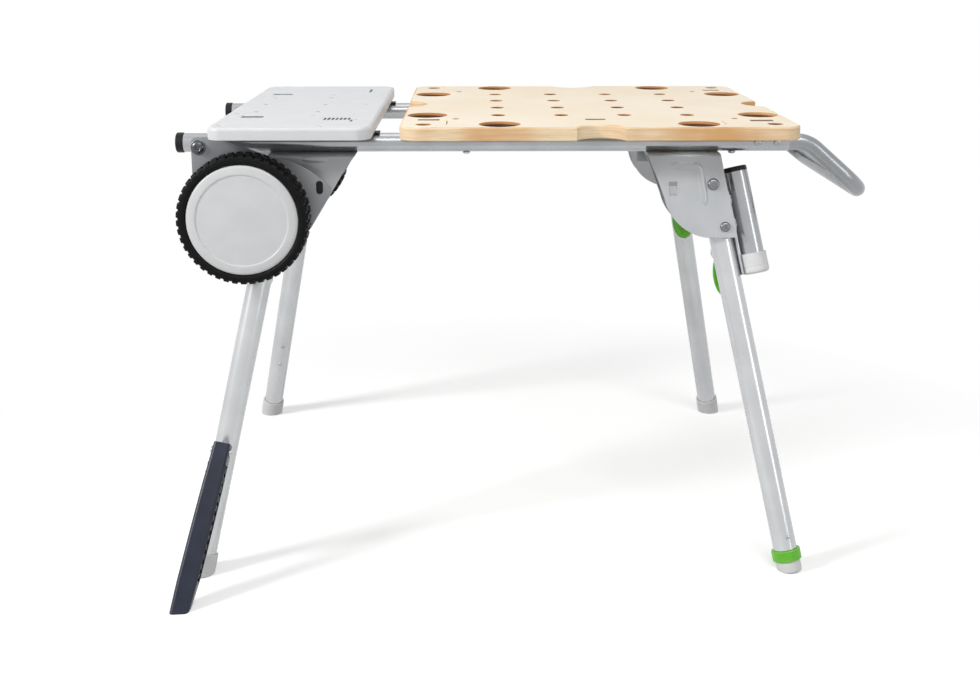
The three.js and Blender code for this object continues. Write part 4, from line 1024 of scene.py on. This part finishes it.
def adjusting_foot():
    """The ring, and the foot with its grooved spindle."""
    place, length = leg_place("right", "front"), ends["right"].length
    high = adjuster.foot_height - length
    ring = ribbed_ring(high + gap)
    piece("knurled_ring", "adjuster_ring", ring, "green_plastic", place, body="adjuster_ring")
    radius = adjuster.foot
    base = -length - radius * tan(leg_tilt + leg_splay) / 2
    profile = [(0, base)] + arc(radius - 6, base + 6, 6, -quarter, 0, 8)
    profile += [(radius, high - 2), (radius - 0.6, high - 0.6), (radius - 1.2, high)]
    profile += [(6.8, high), (6.8, high + 0.6)]
    for z in (high + 1 + 5 * i for i in range(9)):
        profile += [(6, z + 0.2), (6, z + 1.8), (5.3, z + 2.6), (5.3, z + 4.2)]
    profile += [(5.0, high + 46), (0, high + 46)]
    shape = trimmed_to_floor(lathe(profile), place)
    piece("screw_foot", "adjuster_foot", shape, "foot_plastic", place, body="adjuster_foot")


def short_feet():
    """The feet that carry the folded stand, each held by two tabs."""
    radius = leg.radius
    axis = 2 * radius + gap + sheet + 3.4
    inner = radius - leg.wall - gap
    aside = shift(axis)
    shape = Shape().add(pipe(radius, leg.wall, short_foot.low, short_foot.high, 0.5), aside)
    for along in short_foot.tabs:
        shape.add(block((radius + 2 * gap + sheet, -7, -along - 6), (axis - 10, 7, -along + 6), 0.8))
    plug = lathe([
        (0, 3), (inner, 3), (inner, 13.2), (radius, 13.3), (radius, 18.4), (radius - 0.8, 19.6),
        (radius - 2.4, 20), (0, 20),
    ])
    cup = foot_cup(short_foot.cap_low, short_foot.cap_high, short_foot.seat)
    plug, cup = Shape().add(plug, aside), Shape().add(cup, aside)
    for row in rows:
        place, tail = leg_place("right", row), f"_{row}"
        piece("short_leg", "short_foot_right", shape, "short_leg", place, tail)
        piece("short_leg_plug", None, plug, "black_plastic", place, tail)
        piece("short_leg_cup", "short_foot_cap_right", cup, "foot_plastic", place, tail)


# The fold-out foot, from its hinge. Its stations are heights with their shares of its width
bar = Sizes(half=14.5, front=-14, back=12.5, corner=6, high=11)
bar_stations = ((-262, 0.86), (-192, 1), (-110, 1), (-50, 0.96), (bar.high, 0.84))
bar_pocket = Sizes(high=-20, low=-186, wall=5, front=5, back=3.5, ribs=12, rib_half=0.8)
bar_heel = Sizes(z=-172.1, slope=14 * degree)
bar_head_slope = 36 * degree


def bar_ribs():
    """Crossed ribs in both side pockets."""
    front, back = bar.front + 4, bar.back - 2.5
    count = bar_pocket.ribs
    pitch = (bar_pocket.high - bar_pocket.low) / count
    ribs = Shape()
    for side in sides:
        near, far = side * (bar.half - 6), side * (bar.half - 1)
        for i in range(count):
            for lean in (0, 1):
                first = Vector((front, bar_pocket.high - pitch * (i + lean)))
                last = Vector((back, bar_pocket.high - pitch * (i + 1 - lean)))
                across = Vector((first.y - last.y, last.x - first.x)).normalized() * bar_pocket.rib_half
                outline = [first - across, last - across, last + across, first + across]
                ribs.add(slab(outline, near, far, "x"))
    return ribs


def fold_out_foot():
    """A bar with pockets on both sides and a slot for its lug."""
    half, front, back, corner = bar.half, bar.front, bar.back, bar.corner
    place = leg_place("left", "front") @ shift(0, -outrigger.offset, -outrigger.hinge)
    place = place @ spin(-outrigger.lean, "X")
    section = arc(half - 1, back - 1, 1, 0, quarter, 3) + arc(1 - half, back - 1, 1, quarter, 2 * quarter, 3)
    section += arc(corner - half, front + corner, corner, 2 * quarter, 3 * quarter, 7)
    section += arc(half - corner, front + corner, corner, 3 * quarter, 4 * quarter, 7)
    shape = lofted([[(x * share, y, z) for x, y in section] for z, share in bar_stations])
    head = shift(0, front + 5, bar.high) @ spin(-bar_head_slope, "X")
    heel = shift(0, back, bar_heel.z) @ spin(-bar_heel.slope, "X")
    tools = [
        Shape().add(slab(oblong(-40, -40, 40, 0), 0, 60), head),
        slab(oblong(-4.3, -9.4, 4.3, 30), -17, 40),
        Shape().add(slab(oblong(-40, 0, 40, 60), -120, 0), heel),
    ]
    near, far = front + bar_pocket.front, back - bar_pocket.back
    for side in sides:
        low_x, high_x = sorted((side * (half + bar_pocket.wall), side * (half - bar_pocket.wall)))
        tools.append(slab(oblong(low_x, near, high_x, far), bar_pocket.low, bar_pocket.high))
    for tool in tools:
        shape = carved(shape, tool)
    shape = trimmed_to_floor(shape, place)
    thing = piece("fold_out_bar", "outrigger_foot", shape, "navy_plastic", place, body="outrigger")
    soften(thing, 0.9, 3)
    piece("fold_out_ribs", None, bar_ribs(), "navy_plastic", place, body="outrigger")
    pin = Shape()
    for side in sides:
        pin.add(screw("pin", spin(side * quarter, "Y") @ shift(z=0.9 * half)))
    piece("fold_out_pin", "outrigger_pin", pin, "bolt_steel", place, body="outrigger")


# Wheels and their plates
wheel = Sizes(x=-513, z=528, front=295, width=43, lugs=46)
rim_ribs = 12
wheel_plate = Sizes(y=236, left=-592, high=641, low=505, corner=9, arc=126.5, bolt_x=-581)


def wheel_plates():
    px, pz = ends["left"].x, ends["left"].z
    left, high, low, corner = wheel_plate.left, wheel_plate.high, wheel_plate.low, wheel_plate.corner
    outline = arc(left + corner, low + corner, corner, pi, pi * 3 / 2, 8)
    outline += [(px + 67.7, low), (px + 98.7, pz + 71)]
    outline += arc(px, pz, wheel_plate.arc, atan2(78, 98.7), atan2(127, 15.7), 16)
    outline.append((left + corner + 27, high))
    outline += arc(left + corner, high - corner, corner, quarter, 2 * quarter, 8)
    x, z = px + 82.2, pz + 81
    slot = arc(x, z + 5, 5, 0, pi, 10) + arc(x, z - 5, 5, pi, turn, 10)
    shape = plate(outline, rim(0, sheet, 0.6, 0.6), [(slot, rim(0, sheet, 0.5, 0.5))])
    plug = plate(inset(slot, 0.2), rim(0, sheet - 0.8, 0.5, 0.2))
    bolt = lathe([(5.4, 0), (10.8, 0), (10.8, 1.2), (10.2, 1.6), (5.4, 1.6)], closed=True)
    bolt.add(screw("wheel_plate", shift(z=1.4))).add(pipe(9, 3, -31, -3.4))
    for row, half in rows.items():
        place, tail = build @ half @ shift(0, -wheel_plate.y) @ facing["front"], f"_{row}"
        piece("wheel_plate_sheet", "wheel_plate", shape, "plate_sheet", place, tail)
        piece("slot_plug", None, plug, "black_plastic", place, tail)
        spot = place @ shift(wheel_plate.bolt_x, tube.z, sheet)
        piece("plate_bolt", "wheel_plate_bolt", bolt, "dark_bolt", spot, tail)


# Half of the tyre's section: root radius, depth from its face, block radius and whether it has blocks
tyre_section = (
    (81.0, 5.0, 81.0, 0), (81.2, 2.4, 81.2, 0), (82.6, 0.9, 82.6, 0), (85.0, 0.2, 85.0, 0),
    (86.6, 0.2, 86.6, 0), (87.0, 0.8, 87.0, 0), (88.8, 1.0, 88.8, 0), (89.6, 1.2, 90.6, 1),
    (91.2, 2.6, 93.2, 1), (92.2, 4.6, 94.6, 1), (92.4, 8.0, 95.0, 1), (92.4, 17.6, 95.0, 1),
    (92.4, 18.6, 92.4, 0),
)
tread_shares = (0.0, 0.06, 0.12, 0.18, 0.5, 0.56, 0.62, 0.68)
tread_raised = {1: (0.06, 0.12, 0.18, 0.5, 0.56, 0.62), 2: (0.56, 0.62, 0.68, 0.0, 0.06, 0.12)}


def tyre():
    """A ring with two staggered rows of tread blocks."""
    front, back = wheel.front, wheel.front - wheel.width
    stations = [(root, front - depth, outer, row) for root, depth, outer, row in tyre_section]
    stations += [(root, back + depth, outer, 2 * row) for root, depth, outer, row in tyre_section[::-1]]
    rings = []
    for root, height, outer, row in stations:
        ring = []
        for lug in range(wheel.lugs):
            for share in tread_shares:
                radius = outer if row and share in tread_raised[row] else root
                angle = turn * (lug + share) / wheel.lugs
                ring.append((radius * cos(angle), radius * sin(angle), height))
        rings.append(ring)
    return lofted(rings, closed=True)


def wheel_rim():
    """A rim with a hub, a web and ribs on its inner side."""
    back = wheel.front - wheel.width + 3
    bore, hub, outer = 6.2, 17, 80.6
    inner, web, hub_end = outer - 5, back + 16.5, wheel.front - 16
    shape = lathe([
        (bore, back), (hub, back), (hub, web - 3), (40, web - 4.4), (inner, web - 3), (inner, back + 1),
        (inner + 0.8, back), (outer - 0.6, back), (outer, back + 0.6), (outer, back + 32.2),
        (outer - 0.6, back + 33), (inner + 0.6, back + 33), (inner, back + 32), (inner, web + 3),
        (hub, web + 3), (hub, hub_end), (bore, hub_end),
    ], steps.fine, closed=True)
    for i in range(rim_ribs):
        rib = block((hub - 1, -1.5, back + 1), (inner + 0.5, 1.5, web - 2), 0.5)
        shape.add(rib, spin(turn * i / rim_ribs, "Z"))
    return shape


def wheel_cap():
    """A dished cap with a ring-shaped groove, as (radius, height over the wheel's face)."""
    profile = [
        (0, 0.4), (30, 0.15), (50, -0.35), (62, -0.95), (65.0, -1.1), (65.9, -0.9), (66.4, -0.35),
        (67.2, 0.05), (70, -0.1), (76, -0.9), (78.8, -1.7), (80, -3), (80, -6.4), (78.6, -6.7), (0, -6.7),
    ]
    return lathe([(radius, wheel.front + height) for radius, height in profile], steps.fine)


def wheels():
    for row in rows:
        place = build @ shift(wheel.x, 0, wheel.z) @ facing[row]
        for name, node, shape, key in (
            ("tread_tyre", "tyre", tyre(), "tyre_rubber"),
            ("ribbed_rim", "wheel_rim", wheel_rim(), "rim_plastic"),
            ("dished_cap", "wheel_cap", wheel_cap(), "cap_plastic"),
        ):
            piece(name, node, shape, key, place, f"_{row}", f"wheel_{row}")


# Stage
floor_half = 40
floor_fade = (0.6, 1.1)
world_strength = (0.27, 1.0)
# Each lamp's place, target, size and watts
lamps = {
    "key": ((-3.4, -1.6, 2.3), (0, 0, 0.3), (0.9, 0.9), 105),
    "overhead": ((0.2, 0.3, 3.2), (0, 0, 0.5), (2.0, 1.6), 15),
    "fill": ((0.6, -2.6, 2.9), (0, 0, 0.4), (2.4, 1.0), 42),
    "strip": ((2.5, -2.2, 1.2), (0.2, 0, 0.4), (0.6, 1.8), 13),
}


def grey(level):
    return (level, level, level, 1)


def floor_white():
    """A pale floor with shadows that fades to white where it is seen."""
    n = new_finish("floor_white", own=False)
    seen = n.seen()
    base = n.mix(n.patches(400, 2), grey(0.98), grey(0.98 * 0.985))
    n.finished(Base_Color=n.mix(seen, grey(0.48), base), Roughness=0.8, Specular_IOR_Level=0.1)
    distance = n.add("VectorMath", {0: n.add("TexCoord", out="Object")}, "Value", operation="LENGTH")
    far = n.math("MULTIPLY", seen, n.remap(distance, *floor_fade, 0, 1))
    lift = n.add("Emission", {"Strength": n.math("MULTIPLY", seen, 0.3)})
    near = n.add("AddShader", {0: n.tree.nodes["Principled BSDF"].outputs[0], 1: lift})
    blend = n.add("MixShader", {0: far, 1: near, 2: n.add("Emission", {"Strength": 1.0})})
    n.feed(n.tree.nodes["Material Output"].inputs["Surface"], blend)
    return finish["floor_white"]


def stage():
    mesh = bpy.data.meshes.new("floor")
    corners = oblong(-floor_half, -floor_half, floor_half, floor_half)
    mesh.from_pydata([(x, y, 0) for x, y in corners], [], [(0, 1, 2, 3)])
    mesh.materials.append(floor_white())
    in_scene("floor", mesh)
    bpy.context.scene.world = bpy.data.worlds.new("studio")
    n = Nodes(bpy.context.scene.world)
    back = n.tree.nodes["Background"]
    n.feed(back.inputs["Strength"], n.remap(n.seen(), 0, 1, *world_strength))
    n.feed(back.inputs["Color"], grey(1))


def lights():
    for name, (place, target, size, power) in lamps.items():
        data = bpy.data.lights.new(name, "AREA")
        data.shape = "RECTANGLE"
        data.size, data.size_y = size
        data.energy = power
        lamp = in_scene(name, data)
        lamp.location = place
        lamp.rotation_euler = (Vector(target) - Vector(place)).to_track_quat("-Z", "Y").to_euler()


add_camera()
worktop()
docking_plate()
frame_tubes()
push_handle()
leg_brackets()
bracket_bolts()
legs()
adjusting_foot()
short_feet()
fold_out_foot()
wheel_plates()
wheels()
stage()
lights()

bpy.context.scene.view_settings.view_transform = "Standard"
